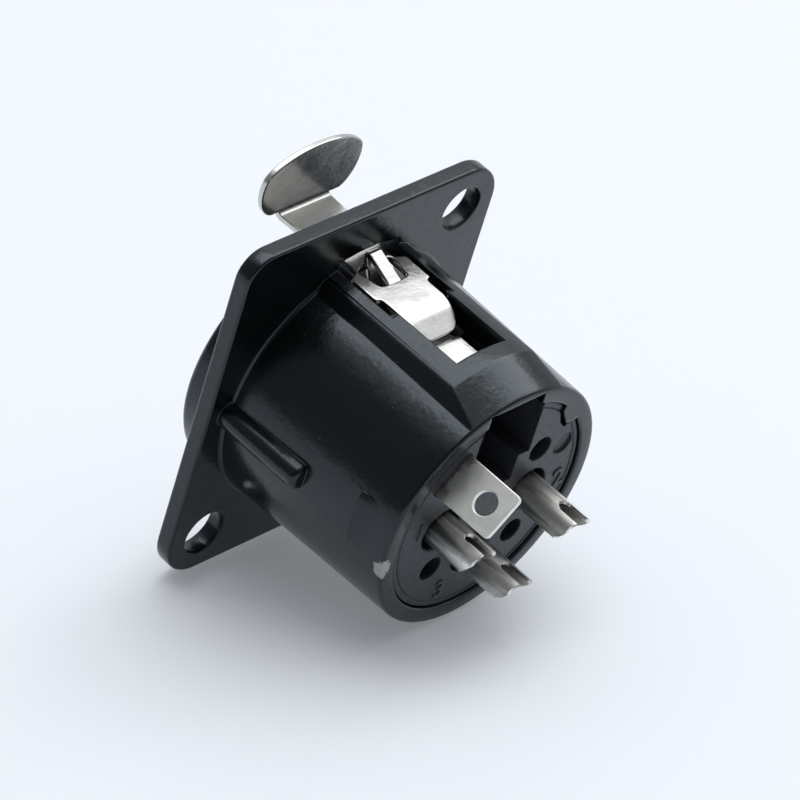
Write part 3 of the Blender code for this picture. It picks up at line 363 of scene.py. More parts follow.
def snap_tooth():
    """The low ramp that snaps behind the panel, its step towards the flange."""
    shape = bmesh.new()
    rows = []
    for i in range(17):
        turn = math.radians(TOOTH_ANGLE + TOOTH_SPREAD * (i / 16 - 0.5))
        height = TOOTH_HEIGHT * math.sin(math.pi * (i + 0.35) / 16.7) ** 0.35
        step, crest, middle = TOOTH_START, TOOTH_START + 0.08, TOOTH_START + 0.5
        ends = [
            (10.0, step),
            (barrel_radius_at(step) + height - 0.06, step),
            (barrel_radius_at(crest) + height, crest),
            (barrel_radius_at(middle) + height * 0.72, middle),
            (barrel_radius_at(TOOTH_END) - 0.02, TOOTH_END),
            (10.0, TOOTH_END),
        ]
        rows.append([shape.verts.new((r * math.cos(turn), y, r * math.sin(turn))) for r, y in ends])
    for near, far in zip(rows, rows[1:]):
        for i in range(6):
            j = (i + 1) % 6
            shape.faces.new((near[i], near[j], far[j], far[i]))
    shape.faces.new(rows[0])
    shape.faces.new(rows[-1])
    return workpiece("snap_tooth", shape)


def prism(name, outline, front, rear):
    """A solid with this outline of (x, z) points, straight from front to rear."""
    shape = bmesh.new()
    near = [shape.verts.new((x, front, z)) for x, z in outline]
    far = [shape.verts.new((x, rear, z)) for x, z in outline]
    shape.faces.new(near)
    shape.faces.new(far)
    for i in range(len(outline)):
        j = (i + 1) % len(outline)
        shape.faces.new((near[i], near[j], far[j], far[i]))
    return workpiece(name, shape)


def rim_key():
    """The small hooked key at the rear rim that keeps the insert from turning."""
    return prism("rim_key", [on_circle(*corner) for corner in KEY_CORNERS], KEY_FRONT, KEY_REAR)


def latch_openings():
    """The slot for the lever's neck, the window over its body, the pocket behind and the pivot holes."""
    slot = block("neck_slot", (-SLOT_HALF, -6.0, WINDOW_FLOOR), (SLOT_HALF, 0.4, 13.0))
    front = SLOT_CROWN + SLOT_DRAFT
    arch = [(0.0, 1.0), (SLOT_CROWN, 1.0), (SLOT_CROWN, 0.0), (front, -1.5), (front, -7.0), (0.0, -7.0)]
    boolean(slot, lathe("slot_crown", arch, 256), "INTERSECT")
    tools = [
        slot,
        block("ear_recess", (-SLOT_HALF, 0.0, WINDOW_FLOOR), (SLOT_HALF, SLOT_END, 12.6)),
        block("window", (-WINDOW_HALF, SLOT_END - 0.3, WINDOW_FLOOR), (WINDOW_HALF, WINDOW_END, 12.6)),
        block("rear_pocket", (POCKET_RIGHT, WINDOW_END - 0.3, WINDOW_FLOOR), (POCKET_LEFT, 18.0, POCKET_ROOF)),
    ]
    drill = [(0.0, PIVOT_REACH), (PIVOT_HOLE, PIVOT_REACH), (PIVOT_HOLE, -PIVOT_REACH), (0.0, -PIVOT_REACH)]
    pivot = lathe("pivot_hole", drill, 32)
    pivot.data.transform(Matrix.Translation(PIVOT) @ Matrix.Rotation(math.pi / 2, 4, "Z"))
    return tools + [pivot]


def painted_surface(name, base, roughness, peel, edge):
    """Black paint or moulding: soft mottling, fine orange peel, dust specks and rounded edges."""
    surface, tree, add = node_tree_of(name)
    shader = tree.nodes["Principled BSDF"]
    place = add("ShaderNodeTexCoord")
    grid = add("ShaderNodeVectorMath", {0: place.outputs["Object"], 3: 1000.0}, operation="SCALE")
    where = grid.outputs[0]
    mottle = add("ShaderNodeTexNoise", {"Vector": where, "Scale": 0.35, "Detail": 3.0, "Roughness": 0.6})
    fine = add("ShaderNodeTexNoise", {"Vector": where, "Scale": 2.6, "Detail": 4.0, "Roughness": 0.65})
    specks = add("ShaderNodeTexVoronoi", {"Vector": where, "Scale": 0.9, "Randomness": 1.0})
    dust = add("ShaderNodeMapRange", {"Value": specks.outputs["Distance"], 1: 0.06, 2: 0.025, 3: 0.0, 4: 1.0})
    patches = add("ShaderNodeMapRange", {"Value": mottle.outputs["Fac"], 1: 0.48, 2: 0.62, 3: 0.0, 4: 1.0})
    few = add("ShaderNodeMath", {0: dust.outputs[0], 1: patches.outputs[0]}, operation="MULTIPLY")
    colour = add("ShaderNodeMix", {0: few.outputs[0]}, data_type="RGBA")
    colour.inputs[6].default_value = (*base, 1.0)
    colour.inputs[7].default_value = (0.10, 0.105, 0.11, 1.0)
    tree.links.new(colour.outputs[2], shader.inputs["Base Color"])
    low, high = roughness * 0.8, roughness * 1.35
    spread = add("ShaderNodeMapRange", {"Value": fine.outputs["Fac"], 1: 0.3, 2: 0.75, 3: low, 4: high})
    tree.links.new(spread.outputs[0], shader.inputs["Roughness"])
    relief = add("ShaderNodeBevel", {"Radius": edge * 0.001}, samples=16).outputs[0]
    waves, skin, grit = peel * 0.00005, peel * 0.000016, 0.00002
    for height, depth in ((mottle.outputs["Fac"], waves), (fine.outputs["Fac"], skin), (few.outputs[0], grit)):
        bump = add("ShaderNodeBump", {"Height": height, "Strength": 1.0, "Distance": depth, "Normal": relief})
        relief = bump.outputs["Normal"]
    tree.links.new(relief, shader.inputs["Normal"])
    return surface, tree, add, where, colour


def shell_paint():
    paint_black = (0.0035, 0.0042, 0.0045)
    surface, tree, add, where, colour = painted_surface("gloss_black_paint", paint_black, 0.17, 1.0, 0.16)
    shader = tree.nodes["Principled BSDF"]
    shader.inputs["Specular Tint"].default_value = (0.80, 0.91, 1.0, 1.0)
    # The paint is rubbed through to the zinc at one place on the rear rim.
    away = add("ShaderNodeVectorMath", {0: where, 1: (10.45, 16.7, -1.6)}, operation="DISTANCE")
    near = add("ShaderNodeMapRange", {"Value": away.outputs["Value"], 1: 0.5, 2: 1.9, 3: 1.0, 4: 0.0})
    ragged = add("ShaderNodeTexNoise", {"Vector": where, "Scale": 1.7, "Detail": 5.0, "Roughness": 0.7})
    sum_up = add("ShaderNodeMath", {0: near.outputs[0], 1: ragged.outputs["Fac"]}, operation="ADD")
    rubbed = add("ShaderNodeMapRange", {"Value": sum_up.outputs[0], 1: 1.24, 2: 1.34, 3: 0.0, 4: 1.0})
    bare = add("ShaderNodeMix", {0: rubbed.outputs[0], 6: colour.outputs[2]}, data_type="RGBA")
    bare.inputs[7].default_value = (0.34, 0.34, 0.335, 1.0)
    tree.links.new(bare.outputs[2], shader.inputs["Base Color"])
    return surface


shell = barrel_blank()
shell.name = "shell_casting"
cast_on(shell, flange_plate(), latch_housing(), panel_rib(), snap_tooth())
cut(shell, bore_tool(), *latch_openings())
cut(shell, *[screw_hole_tool(x, z) for x, z in SCREW_PLACES])
cast_on(shell, rim_key())
finish_piece(shell, shell_paint(), "socket")
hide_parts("shell")

# ---- Contact insert ----
# One black moulding of glass-filled nylon. It slides into the shell from the front until its collar meets the
# ledge, and carries the contacts in stepped cavities. Its numbers are moulded on the rear face.
NOSE_RADIUS, NOSE_FACE, COLLAR_FRONT = 7.9, -3.7, 7.8
INSERT_REAR = 16.5
COLLAR_RADIUS, INSERT_RADIUS = 9.45, 9.26
PIN_PLACES = {"contact_1": (4.49, -0.45), "contact_2": (-4.49, -0.45), "contact_3": (0.0, -4.6)}
CAVITY_RADIUS, CAVITY_FRONT, PIN_ENTRY = 1.88, -2.6, 1.35
GROUND_RADIUS, GROUND_THICKNESS, GROUND_ANGLE = 7.3, 0.5, 45.0
GROUND_TAB_HALF, GROUND_ARM_HALF, GROUND_ARM_FRONT = 1.93, 1.2, 0.2
NOTCH_CORNERS = ((9.6, 126.0), (8.8, 128.3), (8.08, 137.3), (8.14, 143.8), (9.6, 145.0))
NOTCH_FRONT = 14.8
GROOVE_RADIUS, GROOVE_DEPTH = 8.76, 0.09
LATCH_POCKET_HALF = 3.15
CORE_HOLES = ((-4.55, 3.5, 1.07), (-4.25, -4.42, 1.02), (4.25, -4.42, 1.02))
CORE_HOLE_DEPTH = 3.0
GATE_MARK, GATE_MARK_DEPTH = (-7.12, 2.98, 0.95), 0.22
NUMBERS = (("1", 6.95, 0.3, 0.0, 2.2), ("2", -7.95, -0.77, 8.0, 2.5), ("3", 2.4, -7.3, 0.0, 2.2))


def insert_blank():
    floor = INSERT_REAR - GROOVE_DEPTH
    outline = [(0.0, INSERT_REAR), (GROOVE_RADIUS - 0.1, INSERT_REAR), (GROOVE_RADIUS - 0.06, floor)]
    outline += [(GROOVE_RADIUS + 0.06, floor), (GROOVE_RADIUS + 0.1, INSERT_REAR)]
    outline += bend_points((INSERT_RADIUS - 0.15, INSERT_REAR - 0.15), 0.15, 90, 0, 4)
    outline += [(INSERT_RADIUS, 11.3), (COLLAR_RADIUS, 11.3), (COLLAR_RADIUS, COLLAR_FRONT)]
    outline += [(NOSE_RADIUS, COLLAR_FRONT)]
    outline += bend_points((NOSE_RADIUS - 0.35, NOSE_FACE + 0.35), 0.35, 0, -90, 6)
    outline.append((0.0, NOSE_FACE))
    return lathe("insert_blank", outline, 192)


def cavity_tool(place):
    """The stepped hole for one contact, with a slight lead at the rear and a chamfer for the pin in front."""
    outline = [(0.0, 18.0), (CAVITY_RADIUS + 0.1, 18.0), (CAVITY_RADIUS + 0.1, INSERT_REAR)]
    outline += [(CAVITY_RADIUS, INSERT_REAR - 0.1), (CAVITY_RADIUS, CAVITY_FRONT), (PIN_ENTRY, CAVITY_FRONT)]
    outline += [(PIN_ENTRY, NOSE_FACE + 0.35), (PIN_ENTRY + 0.35, NOSE_FACE), (PIN_ENTRY + 0.35, -6.0), (0.0, -6.0)]
    return lathe("cavity", outline, 64, place)


def blind_hole(x, z, radius, depth):
    outline = [(0.0, 18.0), (radius + 0.05, 18.0), (radius + 0.05, INSERT_REAR), (radius, INSERT_REAR - 0.05)]
    outline += [(radius, INSERT_REAR - depth), (0.0, INSERT_REAR - depth)]
    return lathe("blind_hole", outline, 48, (x, z))


def insert_openings():
    slit = GROUND_THICKNESS / 2 + 0.12
    inner, outer = GROUND_RADIUS - slit, GROUND_RADIUS + slit
    half, arm_half = GROUND_TAB_HALF + 0.06, GROUND_ARM_HALF + 0.3
    ground_slit = block("ground_slit", (-half, COLLAR_FRONT + 0.3, inner), (half, 18.0, outer))
    low, high = (-arm_half, GROUND_ARM_FRONT - 0.3, inner), (arm_half, COLLAR_FRONT + 0.6, MOUTH_RADIUS)
    ground_groove = block("ground_groove", low, high)
    notch = prism("key_notch", [on_circle(*corner) for corner in NOTCH_CORNERS], NOTCH_FRONT, 18.0)
    turn_to(ground_slit, GROUND_ANGLE)
    turn_to(ground_groove, GROUND_ANGLE)
    wide = LATCH_POCKET_HALF
    blocks = [
        block("pocket", (-wide, 12.75, 4.0), (wide, 18.0, 10.5)),
        block("pocket_step", (-2.0, 13.25, 1.7), (2.0, 18.0, 4.3)),
        block("tail_channel", (-wide, 6.8, 8.3), (wide, 13.05, 10.5)),
        block("keyway", (-0.9, -4.7, 6.9), (0.9, COLLAR_FRONT, 10.5)),
        block("spring_slit", (-1.6, 12.0, 1.5), (1.6, 12.85, 10.5)),
    ]
    holes = [blind_hole(*hole, CORE_HOLE_DEPTH) for hole in CORE_HOLES]
    return blocks + holes + [blind_hole(*GATE_MARK, GATE_MARK_DEPTH), ground_slit, ground_groove, notch]


def moulded_number(text, x, z, turn, size):
    """One of the contact numbers, raised a little from the rear face at x and z."""
    letter = bpy.data.curves.new("number_" + text, "FONT")
    letter.body = text
    letter.size = size
    letter.offset = 0.02
    letter.extrude = 0.05
    letter.bevel_depth = 0.025
    letter.bevel_resolution = 1
    letter.align_x = "CENTER"
    letter.align_y = "CENTER"
    guide = bpy.data.objects.new("number_" + text, letter)
    bpy.context.scene.collection.objects.link(guide)
    bpy.context.view_layer.update()
    mesh = bpy.data.meshes.new_from_object(guide.evaluated_get(bpy.context.evaluated_depsgraph_get()))
    bpy.data.objects.remove(guide)
    stand = Matrix.Rotation(math.pi, 4, "Z") @ Matrix.Rotation(math.pi / 2, 4, "X")
    spin = Matrix.Rotation(math.radians(turn), 4, "Y")
    mesh.transform(Matrix.Translation((x, INSERT_REAR + 0.02, z)) @ spin @ stand)
    number = bpy.data.objects.new("moulded_number_" + text, mesh)
    bpy.context.scene.collection.objects.link(number)
    return number


def insert_nylon():
    surface, tree = painted_surface("black_nylon", (0.026, 0.0275, 0.033), 0.42, 0.4, 0.1)[:2]
    tree.nodes["Principled BSDF"].inputs["Specular Tint"].default_value = (0.86, 0.93, 1.0, 1.0)
    return surface


insert = insert_blank()
insert.name = "insert_moulding"
cut(insert, *[cavity_tool(place) for place in PIN_PLACES.values()])
cut(insert, *insert_openings())
nylon = insert_nylon()
finish_piece(insert, nylon, "socket")
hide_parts("contact_insert")
for number in NUMBERS:
    finish_piece(moulded_number(*number), nylon, "socket")

# ---- Contacts ----
# Each is rolled from nickel-plated strip: a slit socket in front, a shoulder that snaps into its cavity, and a
# solder cup behind, with a weep hole and an obliquely cropped end. Contact 1 is the shorter one.
CUP_RADIUS, CUP_WALL, CUP_DEPTH = 1.4, 0.3, 4.6
SHOULDER_RADIUS, BODY_RADIUS = 1.72, 1.55
BORE_RADIUS, BORE_DEPTH = 1.2, 9.5
SLIT_HALF, SLIT_END = 0.15, 3.2
WEEP_RADIUS = 0.5
CUP_ENDS = {"contact_1": 21.0, "contact_2": 22.0, "contact_3": 21.85}
WEEP_PLACES = {"contact_1": 19.2, "contact_2": 20.15, "contact_3": 20.0}
SLOT_WIDTHS = {"contact_1": 0.42, "contact_2": 0.58, "contact_3": 0.5}
CUP_CROP = (
    (1.6, 0.0), (1.2, 0.04), (0.95, 0.22), (0.7, 0.26), (0.45, 0.22), (0.2, 0.36),
    (0.0, 0.52), (-0.25, 0.78), (-0.5, 1.05), (-0.8, 1.22), (-1.1, 1.34), (-1.6, 1.45),
)


def contact_blank(name, place, end):
    front = CAVITY_FRONT + 0.3
    inside = CUP_RADIUS - CUP_WALL
    outline = [(0.0, end - CUP_DEPTH), (inside, end - CUP_DEPTH + 0.3), (inside, end), (CUP_RADIUS, end)]
    outline += [(CUP_RADIUS, 13.6), (SHOULDER_RADIUS, 13.2), (SHOULDER_RADIUS, 12.0), (BODY_RADIUS, 11.8)]
    outline += [(BODY_RADIUS, front + 0.1), (BODY_RADIUS - 0.1, front), (BORE_RADIUS + 0.15, front)]
    outline += [(BORE_RADIUS, front + 0.3), (BORE_RADIUS, front + BORE_DEPTH), (0.0, front + BORE_DEPTH)]
    return lathe(name, outline, 96, place)


def cup_openings(name):
    """The weep hole, the slot behind it and the cropped end, which runs back towards the bottom of the cup."""
    (x, z), end, hole, half = PIN_PLACES[name], CUP_ENDS[name], WEEP_PLACES[name], SLOT_WIDTHS[name]
    drill = [(0.0, 3.0), (WEEP_RADIUS + 0.06, 3.0), (WEEP_RADIUS, 1.4), (WEEP_RADIUS, 0.3), (0.0, 0.3)]
    weep = lathe("weep", drill, 48)
    weep.data.transform(Matrix.Translation((x, hole, z)) @ Matrix.Rotation(math.pi / 2, 4, "X"))
    slot = block("slot", (x - half, hole, z + 0.3), (x + half, end + 1.0, z + 3.0))
    shape = bmesh.new()
    profile = [(end - back, z + height) for height, back in CUP_CROP] + [(end + 1.0, z - 1.7), (end + 1.0, z + 1.7)]
    left = [shape.verts.new((x - 2.0, y, height)) for y, height in profile]
    right = [shape.verts.new((x + 2.0, y, height)) for y, height in profile]
    shape.faces.new(left)
    shape.faces.new(right)
    for i in range(len(profile)):
        j = (i + 1) % len(profile)
        shape.faces.new((left[i], left[j], right[j], right[i]))
    return weep, slot, workpiece("crop", shape)


def socket_slits(place):
    x, z = place
    return (
        block("slit_across", (x - 2.5, -4.0, z - SLIT_HALF), (x + 2.5, SLIT_END, z + SLIT_HALF)),
        block("slit_upright", (x - SLIT_HALF, -4.0, z - 2.5), (x + SLIT_HALF, SLIT_END, z + 2.5)),
    )


def contact_plating():
    """Dull nickel with drawing lines along the tube and dark bands that grow towards the moulding."""
    surface, tree, add = node_tree_of("contact_plating")
    shader = tree.nodes["Principled BSDF"]
    place = add("ShaderNodeTexCoord")
    grid = add("ShaderNodeVectorMath", {0: place.outputs["Object"], 3: 1000.0}, operation="SCALE")
    stretch = add("ShaderNodeMapping", {"Vector": grid.outputs[0], "Scale": (9.0, 0.5, 9.0)})
    lines = add("ShaderNodeTexNoise", {"Vector": stretch.outputs[0], "Scale": 1.0, "Detail": 3.0})
    stains = add("ShaderNodeTexNoise", {"Vector": grid.outputs[0], "Scale": 0.9, "Detail": 4.0, "Roughness": 0.6})
    tone = add("ShaderNodeValToRGB", {"Fac": stains.outputs["Fac"]})
    tone.color_ramp.elements[0].position = 0.3
    tone.color_ramp.elements[0].color = (0.66, 0.65, 0.61, 1.0)
    tone.color_ramp.elements[1].position = 0.65
    tone.color_ramp.elements[1].color = (0.93, 0.92, 0.88, 1.0)
    drawn = add("ShaderNodeMapping", {"Vector": grid.outputs[0], "Scale": (1.5, 0.12, 1.5)})
    bands = add("ShaderNodeTexNoise", {"Vector": drawn.outputs[0], "Scale": 1.0, "Detail": 2.0})
    axis = add("ShaderNodeSeparateXYZ", {0: grid.outputs[0]})
    # Darker towards the moulding: the dark bands grow as the cup nears it.
    deep = add("ShaderNodeMapRange", {"Value": axis.outputs["Y"], 1: 17.0, 2: 20.5, 3: 0.16, 4: 0.0})
    depth = add("ShaderNodeMath", {0: bands.outputs["Fac"], 1: deep.outputs[0]}, operation="ADD")
    darker_share = add("ShaderNodeMapRange", {"Value": depth.outputs[0], 1: 0.53, 2: 0.68, 3: 0.0, 4: 0.85})
    banded = add("ShaderNodeMix", {0: darker_share.outputs[0], 6: tone.outputs["Color"]}, data_type="RGBA")
    banded.inputs[7].default_value = (0.25, 0.245, 0.23, 1.0)
    tree.links.new(banded.outputs[2], shader.inputs["Base Color"])
    spread = add("ShaderNodeMapRange", {"Value": stains.outputs["Fac"], 1: 0.3, 2: 0.7, 3: 0.46, 4: 0.32})
    tree.links.new(spread.outputs[0], shader.inputs["Roughness"])
    shader.inputs["Metallic"].default_value = 1.0
    rounded = add("ShaderNodeBevel", {"Radius": 0.00006}, samples=6)
    scratches = {"Height": lines.outputs["Fac"], "Strength": 1.0, "Distance": 0.000008, "Normal": rounded.outputs[0]}
    relief = add("ShaderNodeBump", scratches)
    tree.links.new(relief.outputs["Normal"], shader.inputs["Normal"])
    return surface


plating = contact_plating()
for name, place in PIN_PLACES.items():
    contact = contact_blank(name + "_rolled", place, CUP_ENDS[name])
    cut(contact, *cup_openings(name), *socket_slits(place))
    finish_piece(contact, plating, "socket")
    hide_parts(name)

# ---- Ground contact ----
# A strip of nickel-plated sheet. Its pierced tab stands out behind for a solder joint, and its arm in front
# bows out of the nose to touch the plug's sleeve. Blanking leaves its edges rounded on one side.
GROUND_TAB_END, GROUND_TAB_CORNER, GROUND_HOLE, GROUND_HOLE_INSET = 21.8, 0.38, 0.95, 1.9
BOW_HEIGHT, BOW_LENGTH = 0.7, 6.0
SHEET_SHARP = 14.0


def blanked_sheet(name, outlines, thickness, rounding):
    """A flat blank from its outlines, the later ones being holes, with the rims rounded as blanking leaves them."""
    curve = bpy.data.curves.new(name, "CURVE")
    curve.dimensions = "2D"
    curve.fill_mode = "BOTH"
    curve.extrude = thickness / 2 - rounding
    curve.bevel_depth = rounding
    curve.bevel_resolution = 2
    curve.offset = -rounding
    for outline in outlines:
        spline = curve.splines.new("POLY")
        spline.points.add(len(outline) - 1)
        for point, (x, y) in zip(spline.points, outline):
            point.co = (x, y, 0.0, 1.0)
        spline.use_cyclic_u = True
    guide = bpy.data.objects.new(name, curve)
    bpy.context.scene.collection.objects.link(guide)
    bpy.context.view_layer.update()
    mesh = bpy.data.meshes.new_from_object(guide.evaluated_get(bpy.context.evaluated_depsgraph_get()))
    bpy.data.objects.remove(guide)
    shape = bmesh.new()
    shape.from_mesh(mesh)
    bpy.data.meshes.remove(mesh)
    bmesh.ops.remove_doubles(shape, verts=shape.verts, dist=0.0005)
    return workpiece(name, shape)


def score(piece, marks, along=(0, 1, 0)):
    """Adds edges across a blank at these distances, so that it can be bent or pressed there."""
    shape = bmesh.new()
    shape.from_mesh(piece.data)
    for mark in marks:
        everything = shape.verts[:] + shape.edges[:] + shape.faces[:]
        at = Vector(along) * mark
        bmesh.ops.bisect_plane(shape, geom=everything, dist=1e-4, plane_co=at, plane_no=along)
    bmesh.ops.triangulate(shape, faces=[face for face in shape.faces if len(face.verts) > 4])
    shape.to_mesh(piece.data)
    shape.free()


def ground_strip():
    tab, arm, corner = GROUND_TAB_HALF, GROUND_ARM_HALF, GROUND_TAB_CORNER
    right = bend_points((tab - corner, GROUND_TAB_END - corner), corner, 90, 0, 6)
    right += [(tab, 8.4), (arm, 8.3), (arm, GROUND_ARM_FRONT)]
    outline = right + [(-x, y) for x, y in reversed(right)]
    hole = bend_points((0.0, GROUND_TAB_END - GROUND_HOLE_INSET), GROUND_HOLE, 0, 354, 59)
    strip = blanked_sheet("ground_strip", [outline, hole], GROUND_THICKNESS, 0.07)
    score(strip, [GROUND_ARM_FRONT + 0.25 * i for i in range(1, 25)])
    for vert in strip.data.vertices:
        share = (vert.co.y - GROUND_ARM_FRONT) / BOW_LENGTH
        if 0 <= share < 1:
            vert.co.z += BOW_HEIGHT * (1 - math.cos(2 * math.pi * share)) / 2
    strip.data.transform(Matrix.Translation((0.0, 0.0, GROUND_RADIUS)))
    turn_to(strip, GROUND_ANGLE)
    return strip


def sheet_plating(name, base, roughness, scuffs):
    """Nickel on rolled sheet: faint rolling lines, small scuffs and a soft change of tone."""
    surface, tree, add = node_tree_of(name)
    shader = tree.nodes["Principled BSDF"]
    place = add("ShaderNodeTexCoord")
    grid = add("ShaderNodeVectorMath", {0: place.outputs["Object"], 3: 1000.0}, operation="SCALE")
    stretch = add("ShaderNodeMapping", {"Vector": grid.outputs[0], "Scale": (12.0, 0.8, 12.0)})
    lines = add("ShaderNodeTexNoise", {"Vector": stretch.outputs[0], "Scale": 1.0, "Detail": 3.0})
    cloud = add("ShaderNodeTexNoise", {"Vector": grid.outputs[0], "Scale": 0.6, "Detail": 4.0, "Roughness": 0.6})
    nicks = add("ShaderNodeTexNoise", {"Vector": grid.outputs[0], "Scale": 3.2, "Detail": 5.0, "Roughness": 0.7})
    marked = add("ShaderNodeMapRange", {"Value": nicks.outputs["Fac"], 1: 0.62, 2: 0.70, 3: 0.0, 4: scuffs})
    tone = add("ShaderNodeMix", {0: cloud.outputs["Fac"]}, data_type="RGBA")
    tone.inputs[6].default_value = (*[c * 0.94 for c in base], 1.0)
    tone.inputs[7].default_value = (*base, 1.0)
    worn = add("ShaderNodeMix", {0: marked.outputs[0], 6: tone.outputs[2]}, data_type="RGBA")
    worn.inputs[7].default_value = (*[c * 0.55 for c in base], 1.0)
    tree.links.new(worn.outputs[2], shader.inputs["Base Color"])
    low, high = roughness * 0.85, roughness * 1.25
    spread = add("ShaderNodeMapRange", {"Value": cloud.outputs["Fac"], 1: 0.3, 2: 0.7, 3: low, 4: high})
    tree.links.new(spread.outputs[0], shader.inputs["Roughness"])
    shader.inputs["Metallic"].default_value = 1.0
    grain = add("ShaderNodeBump", {"Height": lines.outputs["Fac"], "Strength": 1.0, "Distance": 0.000004})
    hollows = {"Height": cloud.outputs["Fac"], "Strength": 1.0, "Distance": 0.00003, "Normal": grain.outputs[0]}
    dents = add("ShaderNodeBump", hollows)
    tree.links.new(dents.outputs["Normal"], shader.inputs["Normal"])
    return surface, tree, add, place, worn


def ground_plating():
    """Satin nickel with a brown heat stain where the tab leaves the moulding."""
    surface, tree, add, place, worn = sheet_plating("ground_plating", (0.86, 0.86, 0.82), 0.45, 0.5)
    axis = add("ShaderNodeSeparateXYZ", {0: place.outputs["Object"]})
    foot = add("ShaderNodeMapRange", {"Value": axis.outputs["Y"], 1: 0.0164, 2: 0.0178, 3: 0.52, 4: 0.0})
    spots = {"Vector": place.outputs["Object"], "Scale": 1100.0, "Detail": 4.0, "Roughness": 0.6}
    cloud = add("ShaderNodeTexNoise", spots)
    total = add("ShaderNodeMath", {0: foot.outputs[0], 1: cloud.outputs["Fac"]}, operation="ADD")
    stained = add("ShaderNodeMapRange", {"Value": total.outputs[0], 1: 0.74, 2: 1.0, 3: 0.0, 4: 0.85})
    tint = add("ShaderNodeMix", {0: stained.outputs[0], 6: worn.outputs[2]}, data_type="RGBA")
    tint.inputs[7].default_value = (0.24, 0.175, 0.165, 1.0)
    tree.links.new(tint.outputs[2], tree.nodes["Principled BSDF"].inputs["Base Color"])
    return surface


ground = ground_strip()
finish_piece(ground, ground_plating(), "socket", SHEET_SHARP)
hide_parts("ground_contact")

# ---- Latch spring ----
# A leaf of plated spring strip. Its leg stands in a slit of the insert behind the window, and its tip is set
# down under the lever's tail, which it pushes up. In the real socket the leaf bends as the lever turns; here it
# keeps one shape and rides on no body.
LEAF_THICKNESS, LEAF_HALF = 0.25, 1.3
LEAF_LINE = [(12.425, 1.8), (12.425, 9.745), (9.0, 9.745), (8.05, 9.2)]
LEAF_BENDS = (0.35, 0.6)


def bend_plan(corners, radii):
    """Straight lengths, turns and radii of a sheet's middle line. A heading of 0 is along -Y, and pi / 2 is up."""
    sides = [Vector(far) - Vector(near) for near, far in zip(corners, corners[1:])]
    headings = [math.atan2(side.y, -side.x) for side in sides]
    turns = [(far - near + math.pi) % (2 * math.pi) - math.pi for near, far in zip(headings, headings[1:])] + [0.0]
    plan, taken = [], 0.0
    for side, turn, radius in zip(sides, turns, (*radii, 1.0)):
        ahead = radius * math.tan(abs(turn) / 2)
        plan.append((side.length - taken - ahead, turn, radius))
        taken = ahead
    return headings[0], plan


def blank_length(corners, radii):
    return sum(length + abs(turn) * radius for length, turn, radius in bend_plan(corners, radii)[1])


def bend_to(piece, corners, radii, step=4.0):
    """Bends a blank along the (y, z) corners. Its own y is the distance along them and its z stands off them."""
    start, plan = bend_plan(corners, radii)
    marks, distance = [], 0.0
    for length, turn, radius in plan[:-1]:
        distance += length
        count = max(4, round(abs(math.degrees(turn)) / step))
        marks += [distance + abs(turn) * radius * i / count for i in range(count + 1)]
        distance += abs(turn) * radius
    score(piece, marks)
    for vert in piece.data.vertices:
        heading, left = start, vert.co.y
        place = Vector((0.0, *corners[0]))
        for number, (length, turn, radius) in enumerate(plan, 1):
            forward = Vector((0.0, -math.cos(heading), math.sin(heading)))
            if left <= length or number == len(plan):
                place += forward * left
                break
            place += forward * length
            left -= length
            side = math.copysign(radius, turn)
            normal = Vector((0.0, math.sin(heading), math.cos(heading)))
            swept = min(left, abs(turn) * radius) / side
            heading += swept
            place += (normal - Vector((0.0, math.sin(heading), math.cos(heading)))) * side
            left -= abs(swept) * radius
            if left <= 1e-7:
                break
        vert.co = place + Vector((vert.co.x, math.sin(heading) * vert.co.z, math.cos(heading) * vert.co.z))
    piece.data.flip_normals()


leaf_length = blank_length(LEAF_LINE, LEAF_BENDS)
leaf = blanked_sheet(
    "leaf_spring",
    [[(LEAF_HALF, 0.0), (LEAF_HALF, leaf_length), (-LEAF_HALF, leaf_length), (-LEAF_HALF, 0.0)]],
    LEAF_THICKNESS,
    0.05,
)
score(leaf, [0.3 * i for i in range(1, int(leaf_length / 0.3))])
bend_to(leaf, LEAF_LINE, LEAF_BENDS)
spring_plating = sheet_plating("spring_plating", (0.70, 0.695, 0.665), 0.22, 0.2)[0]
finish_piece(leaf, spring_plating, None, SHEET_SHARP)
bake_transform(leaf)
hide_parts("latch_spring")

# ---- Latch lever ----
# One strip of bright nickel-plated sheet, blanked and bent: an oval thumb tab, a neck through the flange, ears
# beside the lanced hook, cheeks with pivot lugs and a sloped tail that rests on the spring.
SHEET = 0.5
LEVER_LINE = [(8.25, 9.75), (6.15, 10.8), (-7.25, 10.8), (-7.25, 16.65)]
LEVER_BENDS = (3.5, 0.7)
TAB_OUTLINE = [
    (2.44, 10.95), (2.65, 11.0), (3.66, 11.2), (4.4, 11.85), (4.87, 12.7), (5.06, 13.6),
    (5.05, 14.4), (4.75, 15.2), (3.75, 15.9), (2.1, 16.45), (0.0, 16.65),
]
TAIL_CORNER = [
    (1.0, 0.0), (1.22, 0.03), (1.42, 0.12), (1.63, 0.27), (1.82, 0.48), (1.98, 0.74), (2.12, 1.05),
    (2.22, 1.4), (2.29, 1.8), (2.34, 2.3), (2.36, 2.9),
]
EARS = [(2.36, 4.3), (2.39, 4.08), (2.48, 3.92), (2.62, 3.84), (2.74, 3.8), (2.82, 3.7), (2.84, 3.55), (2.84, 1.35)]
NECK = [(2.78, 1.2), (2.62, 1.1), (1.95, 0.8), (1.95, -1.45), (2.44, -2.45)]
TONGUE_HOLE_REAR, TONGUE_HOLE_FRONT, TONGUE_HOLE_CORNER = (1.5, 2.95), (1.8, 0.6), 0.5
DISH_MIDDLE, DISH_DEPTH = 13.8, 0.1
CHEEK_LOW, CHEEK_HIGH, CHEEK_EDGE = (1.9, 4.55, 9.48), (2.38, 5.85, 10.8), 0.08
LUG_RADIUS, LUG_LENGTH = 0.42, 1.5
HOOK_HALF, HOOK_THICKNESS = 0.63, 0.4
